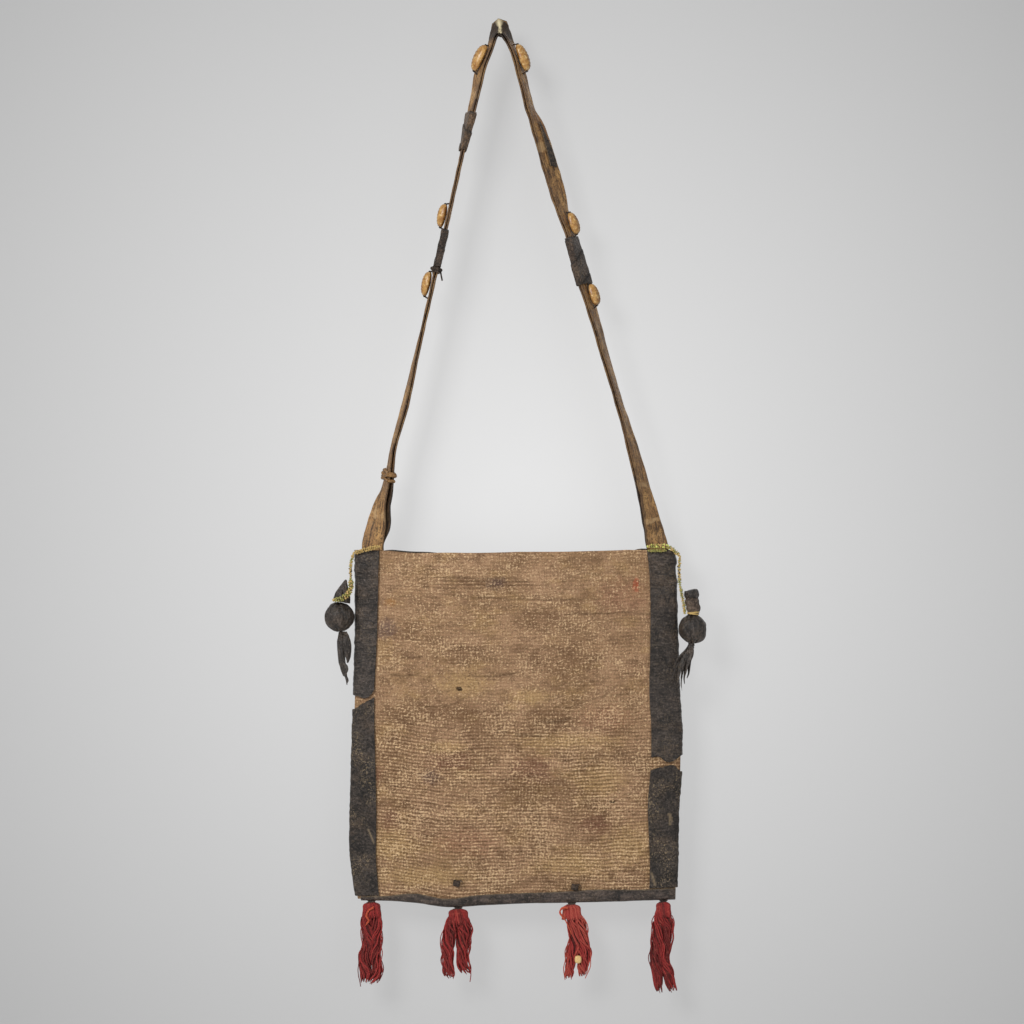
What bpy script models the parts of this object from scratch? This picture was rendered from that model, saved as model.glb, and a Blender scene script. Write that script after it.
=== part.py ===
"""A flat shoulder bag of ribbed cloth, bound in leather and hung by its strap from a peg.

Metres, +Z up, seen from -Y. The origin is the underside of the strap's arch, where the peg carries it.
Every moving piece has its origin, or its parent empty, on its own pivot.
"""

import math

import bmesh
import bpy
from mathutils import Vector

MM = 0.001

# Driving sizes of the pouch
DROP = 460.3 * MM  # from the peg down to the mouth
BAG_WIDTH = 284 * MM  # cloth, edge to edge, at the mouth
BAG_HEIGHT = 315 * MM  # cloth, mouth to lower edge
MIDDLE_X = 13.6 * MM  # the pouch hangs a little to the right of the peg
BELLY = 10 * MM  # how far the pouch gapes in its middle
CLOTH = 1.6 * MM
RIB_HEIGHT = 0.4 * MM
RIB_PITCH = 6.3 * MM  # every second rib of the weave
REAR_T = 1.8 * MM  # rear panel
REAR_LIFT = 0.8 * MM  # rear panel stands this far above the cloth's mean top line
LEATHER = 1.3 * MM
THIN_LEATHER = 1.0 * MM
GAP = 0.35 * MM  # between pieces that touch
CLEAR = 0.5 * MM  # leather over cloth
EDGE_CLEAR = 0.8 * MM  # leather round the cloth's cut edges
FLANGE_REAR = 20 * MM  # a side band's width behind the bag
BINDING_START = 0.01  # share across the cloth where the binding begins, under the left band's foot

# Driving sizes of the strap
STRAP_WIDTH = 19.5 * MM  # folded
STRAP_LAYER = 1.4 * MM
STRAP_FOLD_GAP = 0.8 * MM
STRAP_T = 2 * STRAP_LAYER + STRAP_FOLD_GAP
ARCH_HEIGHT = 19.6 * MM  # the fold stands this high over the peg
ARCH_DEPTH = -4 * MM
PATCH_LIFT = 0.8 * MM  # a patch bridges the twist of the cloth under it
FOOT_INSET = 13.7 * MM  # foot's middle line from the cloth's side edge
FOOT_DEPTH = 14 * MM  # how far a foot reaches into the mouth

# Trim
BALL_LEFT = 12.8 * MM
BALL_RIGHT = 12.0 * MM
BEAD = 1.7 * MM  # radius of a bead on the hanging strings
ROW_BEAD = 1.8 * MM
SMALL_BEAD = 1.5 * MM
COWRIE_STAND_OFF = 0.5 * MM
THONG_R = 0.9 * MM
THONG_LENGTH = 3.0 * MM
THONG_GAP = 0.5 * MM
KNOT_R = 3.2 * MM

# Shares across the cloth where its facets meet, and the line of its top and lower edge there
COLUMNS = (0, 0.09, 0.18, 0.28, 0.38, 0.5, 0.62, 0.75, 0.88, 1)
BOTTOM_WAVE = (2.5, 2.3, 0.3, -3.5, -2.2, -0.5, 0.2, 1.0, 2.2, 3.3)
TOP_WAVE = (0.9, 0.5, -1.6, -1.3, -1.5, -0.8, -0.6, 0.2, 1.1, 0.7)
SIDE_GAP = ((0, 0.6), (0.72, 0.6), (0.93, 5.0), (1, 5.2))
BELLY_RISE = ((0, 0), (0.04, 0.02), (0.12, 0.45), (0.25, 0.8), (0.5, 1), (0.8, 0.85), (1, 0.4))
LEFT_WANDER = ((0, 1), (0.05, -1.7), (0.15, -5.2), (0.36, -4.1), (0.6, -1.9), (0.77, -0.4), (1, 0))
RIGHT_WANDER = ((0, 2), (0.1, 2.8), (0.27, 3.9), (0.36, 6.3), (0.5, 6.6), (0.6, 4.5), (0.8, 2.5), (1, 0))
LEFT_FLANGE = (
    (0, 21.5), (0.2, 24.6), (0.35, 22.9), (0.48, 20.8), (0.6, 19.6), (0.71, 20.1), (1, 21.9),
)
RIGHT_FLANGE = (
    (0, 24), (0.1, 24), (0.3, 27.6), (0.41, 27), (0.58, 26.5), (0.72, 24.4), (0.9, 22.6), (1, 24),
)
BINDING_HEIGHT = (2.2, 2.8, 7, 6, 8, 8, 8.4, 9.8, 8.6, 9)

# Where the bands are torn through: depth under the mouth, and the torn line from outer to inner edge
LEFT_TEAR = 131 * MM
LEFT_TEAR_UPPER = (0, 1.5, 3, 1, -5)
LEFT_TEAR_LOWER = (13, 9.5, 6.5, 4.2, 1.5)
RIGHT_TEAR = 187 * MM
RIGHT_TEAR_UPPER = (-1.5, 4, 4, -0.5, 0)
RIGHT_TEAR_LOWER = (13.7, 7.5, 8.3, 9.5, 11.7)

# The strap's two legs: share of the drop, sideways bend in mm, roll in degrees (90 is edge on)
LEFT_LEG = (
    (0.035, -7.4, 78), (0.068, -10.5, 68), (0.102, -9.8, 71), (0.168, -9, 78), (0.243, -7.8, 87),
    (0.341, -6.4, 88), (0.456, -5.4, 87), (0.599, -4, 85), (0.72, -3.3, 77), (0.797, -4.2, 79),
    (0.869, -1.4, 70), (0.912, -2.6, 50), (0.945, -2, 25), (0.985, -1.3, 4), (1, 0, 0),
)
RIGHT_LEG = (
    (0.035, 8.7, 80), (0.068, 9.2, 70), (0.102, 8.6, 73), (0.14, 7.9, 70), (0.175, 10, 54),
    (0.248, 10.1, 47), (0.298, 9.5, 48), (0.341, 8.9, 60), (0.384, 9.2, 67), (0.47, 8.3, 58),
    (0.527, 7.9, 66), (0.62, 6.6, 73), (0.72, 6.3, 73), (0.8, 6, 62), (0.885, 4.5, 52),
    (0.945, 2.8, 36), (0.985, 1.2, 10), (1, 0, 0),
)

BROWN_CLOTH = ("ribbed_cloth", (0.36, 0.25, 0.15), 0.9)
DARK_LEATHER = ("dark_leather", (0.05, 0.04, 0.038), 0.6)
STRAP_CLOTH = ("strap_cloth", (0.2, 0.13, 0.07), 0.85)
COWRIE_SHELL = ("cowrie_shell", (0.55, 0.36, 0.18), 0.35)
BEADS = ("bead_strings", (0.32, 0.33, 0.1), 0.45)
RED_YARN = ("red_yarn", (0.35, 0.02, 0.02), 0.9)


# Small tools

def lerp(a, b, t):
    return a + (b - a) * t


def along(points, t):
    """The value at t of (t, value) points, straight between them."""
    for (t0, a), (t1, b) in zip(points, points[1:]):
        if t <= t1:
            return lerp(a, b, max(0, (t - t0) / (t1 - t0)))
    return points[-1][1]


def across(values, u):
    """The value at share u across the cloth of a list with one value for each of COLUMNS."""
    return along(tuple(zip(COLUMNS, values)), u)


def smooth_curve(points, steps):
    """Points on a smooth curve through tuples of numbers, with steps stretches between two of them."""
    points = [Vector(p) for p in points]
    ends = [2 * points[0] - points[1], *points, 2 * points[-1] - points[-2]]
    found = []
    for i in range(1, len(ends) - 2):
        a, b, c, d = ends[i - 1:i + 3]
        for k in range(steps):
            t = k / steps
            found.append(
                0.5 * (2 * b + (c - a) * t + (2 * a - 5 * b + 4 * c - d) * t**2
                       + (3 * b - a - 3 * c + d) * t**3)
            )
    return found + [points[-1]]


def material(spec):
    name, colour, roughness = spec
    if name in bpy.data.materials:
        return bpy.data.materials[name]
    made = bpy.data.materials.new(name)
    made.use_nodes = True
    shader = made.node_tree.nodes["Principled BSDF"]
    shader.inputs["Base Color"].default_value = (*colour, 1)
    shader.inputs["Roughness"].default_value = roughness
    return made


def add_object(name, mesh_builder, spec, pivot=None):
    """A named object from a bmesh, with its origin at its pivot."""
    mesh = bpy.data.meshes.new(name)
    if pivot is not None:
        bmesh.ops.translate(mesh_builder, verts=mesh_builder.verts, vec=-Vector(pivot))
    bmesh.ops.recalc_face_normals(mesh_builder, faces=mesh_builder.faces)
    mesh_builder.to_mesh(mesh)
    mesh_builder.free()
    mesh.materials.append(material(spec))
    made = bpy.data.objects.new(name, mesh)
    bpy.context.scene.collection.objects.link(made)
    if pivot is not None:
        made.location = pivot
    return made


def loft(rings, cap_start=True, cap_end=True):
    """A bmesh bridged through rings of points, each ring with as many points as the next."""
    built = bmesh.new()
    loops = []
    for ring in rings:
        verts = [built.verts.new(point) for point in ring]
        edges = [built.edges.new((a, b)) for a, b in zip(verts, verts[1:] + verts[:1])]
        loops.append((verts, edges))
    for (low, _), (high, _) in zip(loops, loops[1:]):
        count = len(low)
        for i in range(count):
            j = (i + 1) % count
            built.faces.new((low[i], low[j], high[j], high[i]))
    if cap_start:
        built.faces.new(loops[0][0])
    if cap_end:
        built.faces.new(loops[-1][0])
    bmesh.ops.triangulate(built, faces=built.faces)
    return built


def grid(points):
    """An open bmesh sheet through rows of points."""
    built = bmesh.new()
    rows = [[built.verts.new(point) for point in row] for row in points]
    for low, high in zip(rows, rows[1:]):
        for i in range(len(low) - 1):
            built.faces.new((low[i], low[i + 1], high[i + 1], high[i]))
    return built


def thicken(made, thickness, offset, even, group=None, least=0.0):
    """Gives a sheet its thickness on one side, less where the vertex group says so."""
    solidify = made.modifiers.new("thickness", "SOLIDIFY")
    solidify.thickness = thickness
    solidify.offset = offset
    solidify.use_even_offset = even
    if group:
        solidify.vertex_group = group
        solidify.thickness_vertex_group = least
    return made


def add_sheet(name, points, spec, thickness, outside):
    """A sheet through rows of points, thickened towards the point outside."""
    built = grid(points)
    built.normal_update()
    middle = sum((v.co for v in built.verts), Vector()) / len(built.verts)
    lean = sum((face.normal.dot(Vector(outside) - face.calc_center_median()) * face.calc_area()
                for face in built.faces), 0.0)
    if lean < 0:
        bmesh.ops.reverse_faces(built, faces=built.faces)
    mesh = bpy.data.meshes.new(name)
    built.to_mesh(mesh)
    built.free()
    mesh.materials.append(material(spec))
    made = bpy.data.objects.new(name, mesh)
    bpy.context.scene.collection.objects.link(made)
    return thicken(made, thickness, 1, True)


def tube_rings(path, radii, sides, squash=1.0):
    """Rings round a path, squash flattening them along Y."""
    rings = []
    for i, centre in enumerate(path):
        before, after = path[max(0, i - 1)], path[min(len(path) - 1, i + 1)]
        tangent = (after - before).normalized()
        side = tangent.cross(Vector((0, 1, 0)))
        side = side.normalized() if side.length > 0.1 else Vector((1, 0, 0))
        front = side.cross(tangent).normalized()
        rings.append([
            centre + radii[i] * (side * math.cos(a) + squash * front * math.sin(a))
            for a in (2 * math.pi * k / sides for k in range(sides))
        ])
    return rings


def bead_tube(points, bead_r, sides=6, neck=0.62, tip=0.3):
    """Rings of a string of touching beads along a smooth path."""
    path = smooth_curve(points, 8)
    lengths = [0]
    for a, b in zip(path, path[1:]):
        lengths.append(lengths[-1] + (b - a).length)
    count = max(2, round(lengths[-1] / (2 * bead_r)))
    centres, radii = [], []
    for k in range(2 * count + 1):
        want = lengths[-1] * k / (2 * count)
        i = max(n for n, length in enumerate(lengths) if length <= want + 1e-9)
        i = min(i, len(path) - 2)
        share = (want - lengths[i]) / (lengths[i + 1] - lengths[i])
        centres.append(path[i].lerp(path[i + 1], share))
        radii.append(bead_r if k % 2 else bead_r * neck)
    radii[0] = radii[-1] = bead_r * tip
    return tube_rings(centres, radii, sides)


def unite(base, others):
    """Joins helper solids to a base by Boolean unions, and keeps the helpers out of the model."""
    for other in others:
        other.hide_render = True
        other.display_type = "WIRE"
        union = base.modifiers.new("union_" + other.name, "BOOLEAN")
        union.operation = "UNION"
        union.object = other
    return base


# The pouch's surface

def height_share(z):
    return (z + DROP + BAG_HEIGHT) / BAG_HEIGHT


def cloth_edge(side, z):
    """X of the cloth's left (-1) or right (1) edge."""
    wander = LEFT_WANDER if side < 0 else RIGHT_WANDER
    return MIDDLE_X + side * BAG_WIDTH / 2 + along(wander, height_share(z)) * MM


def cloth_z(u, v):
    low = -DROP - BAG_HEIGHT + across(BOTTOM_WAVE, u) * MM
    return lerp(low, -DROP + across(TOP_WAVE, u) * MM, v)


def gape(u, v):
    """Distance from the rear panel to the cloth, straight between COLUMNS."""
    def at_column(c):
        return along(SIDE_GAP, v) * MM + BELLY * along(BELLY_RISE, v) * (1 - abs(2 * c - 1) ** 2) ** 0.7
    return across([at_column(c) for c in COLUMNS], u)


def face_point(u, v, out):
    """A point at share u across and v up the cloth, out in front of its inner face."""
    z = cloth_z(u, v)
    x = lerp(cloth_edge(-1, z), cloth_edge(1, z), u)
    return Vector((x, -gape(u, v) - out, z))


def front_at(x, z):
    """Y of the cloth's front at a place seen from the front."""
    left, right = cloth_edge(-1, z), cloth_edge(1, z)
    u = min(1, max(0, (x - left) / (right - left)))
    v = min(1, max(0, (z - cloth_z(u, 0)) / (cloth_z(u, 1) - cloth_z(u, 0))))
    return -gape(u, v) - CLOTH - RIB_HEIGHT


LEATHER_OUT = CLOTH + RIB_HEIGHT + CLEAR  # from the cloth's inner face to the leather's
REAR_OUT = REAR_T + CLEAR


def add_face_panel():
    """The ribbed cloth: crests and hollows of the weave are rows of the sheet."""
    rows = 2 * round(BAG_HEIGHT / RIB_PITCH)
    points = [[face_point(u, i / rows, 0) for u in COLUMNS] for i in range(rows + 1)]
    built = grid(points)
    built.normal_update()
    for face in built.faces:
        if face.normal.y > 0:
            face.normal_flip()
    mesh = bpy.data.meshes.new("face_panel")
    built.to_mesh(mesh)
    built.free()
    mesh.materials.append(material(BROWN_CLOTH))
    panel = bpy.data.objects.new("face_panel", mesh)
    bpy.context.scene.collection.objects.link(panel)
    crests = panel.vertex_groups.new(name="crests")
    for i in range(1, rows, 2):
        crests.add(list(range(i * len(COLUMNS), (i + 1) * len(COLUMNS))), 1, "REPLACE")
    return thicken(panel, CLOTH + RIB_HEIGHT, 1, False, "crests", CLOTH / (CLOTH + RIB_HEIGHT))


def add_rear_panel():
    """The flat rear sheet, cut to the cloth's outline, its top edge peeking above the cloth."""
    shares = sorted({v for v, _ in (*LEFT_WANDER, *RIGHT_WANDER)})
    points = []
    for v in shares:
        row = []
        for u in COLUMNS:
            low = cloth_z(u, 0)
            z = lerp(low, -DROP + REAR_LIFT, v)
            x = lerp(cloth_edge(-1, z), cloth_edge(1, z), u)
            row.append(Vector((x, 0, z)))
        points.append(row)
    return add_sheet("rear_panel", points, DARK_LEATHER, REAR_T, (MIDDLE_X, 10, -DROP))


FLANGE_SHARES = (0, 0.25, 0.5, 0.75, 1)


def band_row(side, flange, v_of):
    """One row of points round the bag's side, from the front flange's inner edge to the rear one's."""
    row = []
    for share in reversed(FLANGE_SHARES):
        v = v_of[FLANGE_SHARES.index(share)]
        width = along(flange, v) * MM * share
        whole = cloth_edge(1, cloth_z(0, v)) - cloth_edge(-1, cloth_z(0, v))
        u = width / whole if side < 0 else 1 - width / whole
        row.append(face_point(u, v, LEATHER_OUT))
    v = v_of[0]
    edge_u = 0 if side < 0 else 1
    z = cloth_z(edge_u, v)
    edge = cloth_edge(side, z)
    row.append(Vector((edge + side * EDGE_CLEAR, -gape(edge_u, v) - CLOTH, z)))
    row.append(Vector((edge + side * EDGE_CLEAR, REAR_T, z)))
    row.append(Vector((edge, REAR_OUT, z)))
    row.append(Vector((edge - side * FLANGE_REAR, REAR_OUT, z)))
    return row


def torn_shares(depth, jags):
    """Height shares of a torn line, from the outer to the inner edge of the front flange."""
    return [1 - (depth + jag * MM) / BAG_HEIGHT for jag in jags]


def add_band(name, side, low, high):
    flange = LEFT_FLANGE if side < 0 else RIGHT_FLANGE
    wander = LEFT_WANDER if side < 0 else RIGHT_WANDER
    inside = [v for v in sorted({t for t, _ in (*SIDE_GAP, *BELLY_RISE, *flange, *wander)})
              if max(low) + 0.01 < v < min(high) - 0.01]
    rows = [low] + [[v] * len(FLANGE_SHARES) for v in inside] + [high]
    points = [band_row(side, flange, row) for row in rows]
    return add_sheet(name, points, DARK_LEATHER, LEATHER, (side * 10, 0, -DROP - BAG_HEIGHT / 2))


def add_bands_and_binding():
    count = len(FLANGE_SHARES)
    top = [1] * count
    left_foot = [0.012] * count
    right_foot = [(across(BINDING_HEIGHT, 1) * MM + CLEAR) / BAG_HEIGHT] * count
    add_band("left_band_upper", -1, torn_shares(LEFT_TEAR, LEFT_TEAR_UPPER), top)
    add_band("left_band_lower", -1, left_foot, torn_shares(LEFT_TEAR, LEFT_TEAR_LOWER))
    add_band("right_band_upper", 1, torn_shares(RIGHT_TEAR, RIGHT_TEAR_UPPER), top)
    add_band("right_band_lower", 1, right_foot, torn_shares(RIGHT_TEAR, RIGHT_TEAR_LOWER))
    points = []
    for u in (BINDING_START, *COLUMNS[1:]):
        low = face_point(u, 0, LEATHER_OUT)
        v_top = across(BINDING_HEIGHT, u) * MM / BAG_HEIGHT
        high = face_point(u, v_top, LEATHER_OUT)
        under = low.z - EDGE_CLEAR
        points.append([
            high,
            low,
            Vector((low.x, low.y + CLEAR + RIB_HEIGHT, under)),
            Vector((low.x, REAR_T, under)),
            Vector((low.x, REAR_OUT, low.z)),
            Vector((high.x, REAR_OUT, high.z)),
        ])
    middle = (MIDDLE_X, 0, -DROP - 10)
    add_sheet("bottom_binding", points, DARK_LEATHER, LEATHER, middle)


# The strap

def foot_x(side):
    return cloth_edge(side, -DROP) - side * FOOT_INSET


def strap_frames():
    """(hem point, ridge point, half opening) along the strap, from the left foot to the right one."""
    wall = REAR_OUT + LEATHER
    foot_y = -(GAP + 0.5 * (along(SIDE_GAP, 1) * MM - GAP))

    def leg(side, stations):
        found = []
        for share, bend, roll in stations:
            angle = math.radians(roll)
            lean = Vector((side * math.cos(angle), math.sin(angle), 0))
            y = min(foot_y, wall - GAP - STRAP_WIDTH / 2 * math.sin(angle))
            centre = Vector((foot_x(side) * share + bend * MM, y, -DROP * share))
            opening = 0.7 * MM if side < 0 and share > 0.85 and share < 0.98 else 0
            found.append((centre - lean * STRAP_WIDTH / 2, centre + lean * STRAP_WIDTH / 2, opening))
        hem, ridge, opening = found[-1]
        down = Vector((0, 0, -FOOT_DEPTH))
        found.append((hem + down, ridge + down, opening))
        return found

    def arch(ridge_x, ridge_z, hem_x, hem_z, lean, opening):
        hem = Vector((hem_x, ARCH_DEPTH / MM - lean, hem_z)) * MM
        ridge = Vector((ridge_x, ARCH_DEPTH / MM + lean, ridge_z)) * MM
        return hem, ridge, opening * MM

    left = leg(-1, LEFT_LEG)
    right = leg(1, RIGHT_LEG)
    crown = [
        arch(-10, 6.4, -4.5, -4, 6, 0.5),
        arch(-5, 14, -2.7, -0.8, 3, 1.2),
        arch(0, ARCH_HEIGHT / MM, 0, 0, 0, 1.8),
        arch(5, 14, 2.7, -0.8, 3, 1.2),
        arch(11, 6.4, 4.5, -4, 6, 0.5),
    ]
    stations = left[::-1] + crown + right
    rows = [(*hem, *ridge, opening) for hem, ridge, opening in stations]
    curve = smooth_rows(rows, 2)
    return [(Vector(row[:3]), Vector(row[3:6]), row[6]) for row in curve]


def smooth_rows(rows, steps):
    """smooth_curve for rows of any length."""
    halves = [smooth_curve([row[i:i + 3] for row in rows], steps) for i in (0, 3)]
    openings = [row[6] for row in rows]
    found = []
    for k, (a, b) in enumerate(zip(*halves)):
        i, part = divmod(k, steps)
        opening = openings[i] if part == 0 else lerp(openings[i], openings[i + 1], part / steps)
        found.append((*a, *b, opening))
    return found


def strap_axes(frames):
    """For each frame of the strap: hem, width direction to the ridge, front normal, half opening."""
    found = []
    for i, (hem, ridge, opening) in enumerate(frames):
        before, after = frames[max(0, i - 1)], frames[min(len(frames) - 1, i + 1)]
        tangent = (after[0] + after[1] - before[0] - before[1]).normalized()
        width = (ridge - hem).normalized()
        normal = tangent.cross(width).normalized()
        width = normal.cross(tangent).normalized()
        centre = (hem + ridge) / 2
        found.append((centre, width, normal, opening))
    return found


def add_strap(axes):
    """A cloth strip folded lengthwise: closed at its ridge, open between its two hems."""
    half, t = STRAP_WIDTH / 2, STRAP_T / 2
    slot = half - STRAP_T
    rings = []
    for centre, width, normal, opening in axes:
        inner = STRAP_FOLD_GAP / 2 + opening
        outline = (
            (half, -t * 0.5), (half, t * 0.5), (half - t, t), (-half, t + opening), (-half, inner),
            (slot, STRAP_FOLD_GAP / 2), (slot, -STRAP_FOLD_GAP / 2), (-half, -inner),
            (-half, -t - opening), (half - t, -t),
        )
        rings.append([centre + width * w + normal * n for w, n in outline])
    return add_object("strap", loft(rings), STRAP_CLOTH)


def frame_at(axes, side, share):
    """The strap's frame on one leg at a share of the drop, straight between two of its own frames."""
    leg = sorted((a for a in axes if a[0].x * side > 0), key=lambda a: -a[0].z)
    for above, below in zip(leg, leg[1:]):
        if below[0].z <= -share * DROP <= above[0].z:
            t = (above[0].z + share * DROP) / (above[0].z - below[0].z)
            return tuple(lerp(a, b, t) for a, b in zip(above, below))
    raise ValueError("no such place on the strap")


def frames_between(axes, side, top_share, low_share):
    """The strap's frames on one leg between two shares of the drop, running down."""
    inside = [a for a in axes if a[0].x * side > 0
              and -low_share * DROP + MM < a[0].z < -top_share * DROP - MM]
    inside.sort(key=lambda a: -a[0].z)
    return [frame_at(axes, side, top_share), *inside, frame_at(axes, side, low_share)]


def add_wrap(name, axes, side, top_share, low_share):
    """A leather sleeve round the strap, clear of it by GAP."""
    half, t = STRAP_WIDTH / 2, STRAP_T / 2
    outer, inner = [], []
    for centre, width, normal, opening in frames_between(axes, side, top_share, low_share):
        for rings, grow in ((inner, GAP), (outer, GAP + THIN_LEATHER)):
            w, n = half + grow, t + grow
            outline = ((w, -n / 2), (w, n / 2), (w - n / 2, n), (-w, n), (-w, -n), (w - n / 2, -n))
            rings.append([centre + width * a + normal * b for a, b in outline])
    built = loft(outer + inner[::-1] + outer[:1], False, False)
    bmesh.ops.remove_doubles(built, verts=built.verts, dist=1e-7)
    return add_object(name, built, DARK_LEATHER)


def add_patch(name, axes, side, top_share, low_share, top_widths, low_widths):
    """A leather patch on the strap's front layer, between two shares of its width."""
    rings = []
    chosen = frames_between(axes, side, top_share, low_share)
    for i, (centre, width, normal, opening) in enumerate(chosen):
        share = i / (len(chosen) - 1)
        a = lerp(top_widths[0], low_widths[0], share) * STRAP_WIDTH / 2
        b = lerp(top_widths[1], low_widths[1], share) * STRAP_WIDTH / 2
        low = STRAP_T / 2 + PATCH_LIFT
        high = low + THIN_LEATHER
        outline = ((a, low), (b, low), (b, high), (a, high))
        rings.append([centre + width * w + normal * n for w, n in outline])
    return add_object(name, loft(rings), DARK_LEATHER)


def add_cowrie(name, axes, side, share, length, breadth, height, place):
    """A cowrie sewn on the strap's front layer: a domed shell with its toothed slit outwards."""
    centre, width, normal, _ = frame_at(axes, side, share)
    lengthwise = normal.cross(width)
    middle = centre + width * (place * STRAP_WIDTH / 2)
    lift = 0.0
    shares = [share + k / 10 * length / 2 / DROP for k in range(-10, 11)]
    for c, w, n, opening in (frame_at(axes, side, s) for s in shares):
        for b in (-1, -0.6, -0.2, 0.2, 0.6, 1):
            swell = opening * (0.5 - 0.5 * b)
            off = c + w * (b * STRAP_WIDTH / 2) + n * (STRAP_T / 2 + swell) - middle
            inside = 1 - (2 * off.dot(lengthwise) / length) ** 2 - (2 * off.dot(width) / breadth) ** 2
            if inside > 0:
                lift = max(lift, off.dot(normal) - height / 2 * (1 - math.sqrt(inside)))
    base = middle + normal * (lift + COWRIE_STAND_OFF)
    rings, sides = [], 12
    for k in range(9):
        a = math.pi * k / 8
        reach, size = -math.cos(a) * length / 2, math.sin(a) ** 0.8
        size = max(size, 0.08)
        ring = []
        for m in range(sides):
            b = 2 * math.pi * m / sides
            side_way, up = math.cos(b) * breadth / 2 * size, (math.sin(b) * size + 1) * height / 2
            slit = m == sides // 4 and 0 < k < 8
            up -= 0.22 * height if slit else 0
            ring.append(base + lengthwise * reach + width * side_way + normal * up)
        rings.append(ring)
    return add_object(name, loft(rings), COWRIE_SHELL)


# Trim at the mouth's corners

def corner(side, out, up, depth):
    """A point near a mouth corner: mm out from the cloth's edge, mm up from the mouth, mm of depth."""
    return Vector((cloth_edge(side, -DROP) + side * out * MM, depth * MM, -DROP + up * MM))


def add_blob(name, spec, centre, radii, pivot=None, segments=12, rings=8):
    """A closed rounded lump."""
    built = bmesh.new()
    bmesh.ops.create_uvsphere(built, u_segments=segments, v_segments=rings, radius=1)
    bmesh.ops.scale(built, verts=built.verts, vec=radii)
    bmesh.ops.translate(built, verts=built.verts, vec=centre)
    return add_object(name, built, spec, pivot)


def add_beads(name, points, bead_r, pivot=None):
    return add_object(name, loft(bead_tube(points, bead_r)), BEADS, pivot)


def add_turned(name, spec, side, profile, depth, pivot, sides=10, flat=1.0):
    """A solid round a line that may wander: mm out, mm up and radius in mm for each of its rings."""
    path = [corner(side, out, up, depth) for out, up, _ in profile]
    radii = [radius * MM for *_, radius in profile]
    return add_object(name, loft(tube_rings(path, radii, sides, flat)), spec, pivot)


# Depths of what hangs in front of the leather, from the same sizes as the leather itself
BAND_FRONT = -(SIDE_GAP[-1][1] + (LEATHER_OUT + LEATHER) / MM)
ROW_DEPTH = BAND_FRONT - (GAP + ROW_BEAD) / MM

# Mouth corners: where the strings turn on the last bead of each row, and the pendants on each string
LEFT_TURN = (2.6, -1.6)
LEFT_PENDANT_TURN = (5.3, -23.4)
RIGHT_TURN = (5.5, -4.5)
RIGHT_PENDANT_TURN = (5.8, -31.5)
TURN_GAP = 0.95  # mm from the middle of a turn to the piece that hangs from it

LEFT_BALL = (15.6, -58.9)
RIGHT_BALL = (17.2, -69.3)

TASSEL_Y = -0.8 * MM
# For each tassel: nearer side, mm in from it, then its two skeins. A skein's rings are mm under the
# binding, mm aside and half width in mm
TASSELS = {
    "tassel_1": (-1, 12.9, (
        ((6.6, -2.4, 4.5), (18.3, -5.1, 5), (37.2, -2.4, 5), (48.9, -6.9, 5), (62.4, -6.5, 5),
         (74, -7.8, 3.6)),
        ((6.6, 2.1, 4.5), (18.3, 4.8, 5), (37.2, 3.9, 5), (48.9, 3, 5), (62.4, 5.2, 5.4), (75, 1.2, 4.5)),
    )),
    "tassel_2": (-1, 90.9, (
        ((8.3, -3.3, 5), (17, -6, 6), (29.8, -8.2, 5.6), (45.3, -9.2, 4.6), (58.8, -8.4, 5),
         (64.2, -7.5, 3.6)),
        ((8.3, 3.3, 5), (17, 5, 6.3), (30, 4.4, 6), (45.3, 3.4, 4.8), (53.4, 4.6, 5.6), (59.7, 7.8, 4.2)),
    )),
    "tassel_3": (1, 91.1, (
        ((8.3, -0.6, 4.5), (20, 3, 5.4), (35.3, 4.8, 5.4), (44.3, 1.2, 5.4), (56, -1.5, 4), (68.6, -3.3, 3)),
        ((8.3, 2.1, 4.5), (20, 8.4, 5.4), (35.3, 12, 5), (44.3, 12.9, 5.8), (56, 12, 4.5), (66.8, 11, 2.7)),
    )),
    "tassel_4": (1, 8.6, (
        ((7.2, -2.1, 3.6), (18, -3.9, 5.4), (37.8, -5.2, 5.4), (51.3, -7, 5.2), (67.5, -6.1, 4.5),
         (82.8, -4.3, 3)),
        ((7.2, 1.5, 3.6), (18, 3.3, 5.4), (37.8, 2.4, 5), (51.3, 0.2, 4.5), (64.8, 4.2, 5), (82.8, 9.6, 4)),
    )),
}
FLUTES = 5
FLUTE_DEPTH = 0.2  # share of a skein's radius between two plies
TWIST = 0.5  # turn of a skein's plies from one ring to the next, in radians
SKEIN_DEPTH = 0.9  # a skein's depth as a share of its width
SKEIN_LEAN = 0.6 * MM  # one skein of a tassel hangs this far before the middle, the other behind it
HEAD_R = 1.2 * MM
YARN_BEAD_PLACE = (5.6, -5.8, -50)
YARN_BEAD_RADII = (3.4 * MM, 1.6 * MM, 3.8 * MM)


def in_from(side, inset):
    """X at so many mm in from the pouch's nominal left (-1) or right (1) side."""
    return MIDDLE_X + side * (BAG_WIDTH / 2 - inset * MM)


def binding_underside(x):
    z = -DROP - BAG_HEIGHT
    left, right = cloth_edge(-1, z), cloth_edge(1, z)
    return cloth_z((x - left) / (right - left), 0) - EDGE_CLEAR - LEATHER


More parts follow.
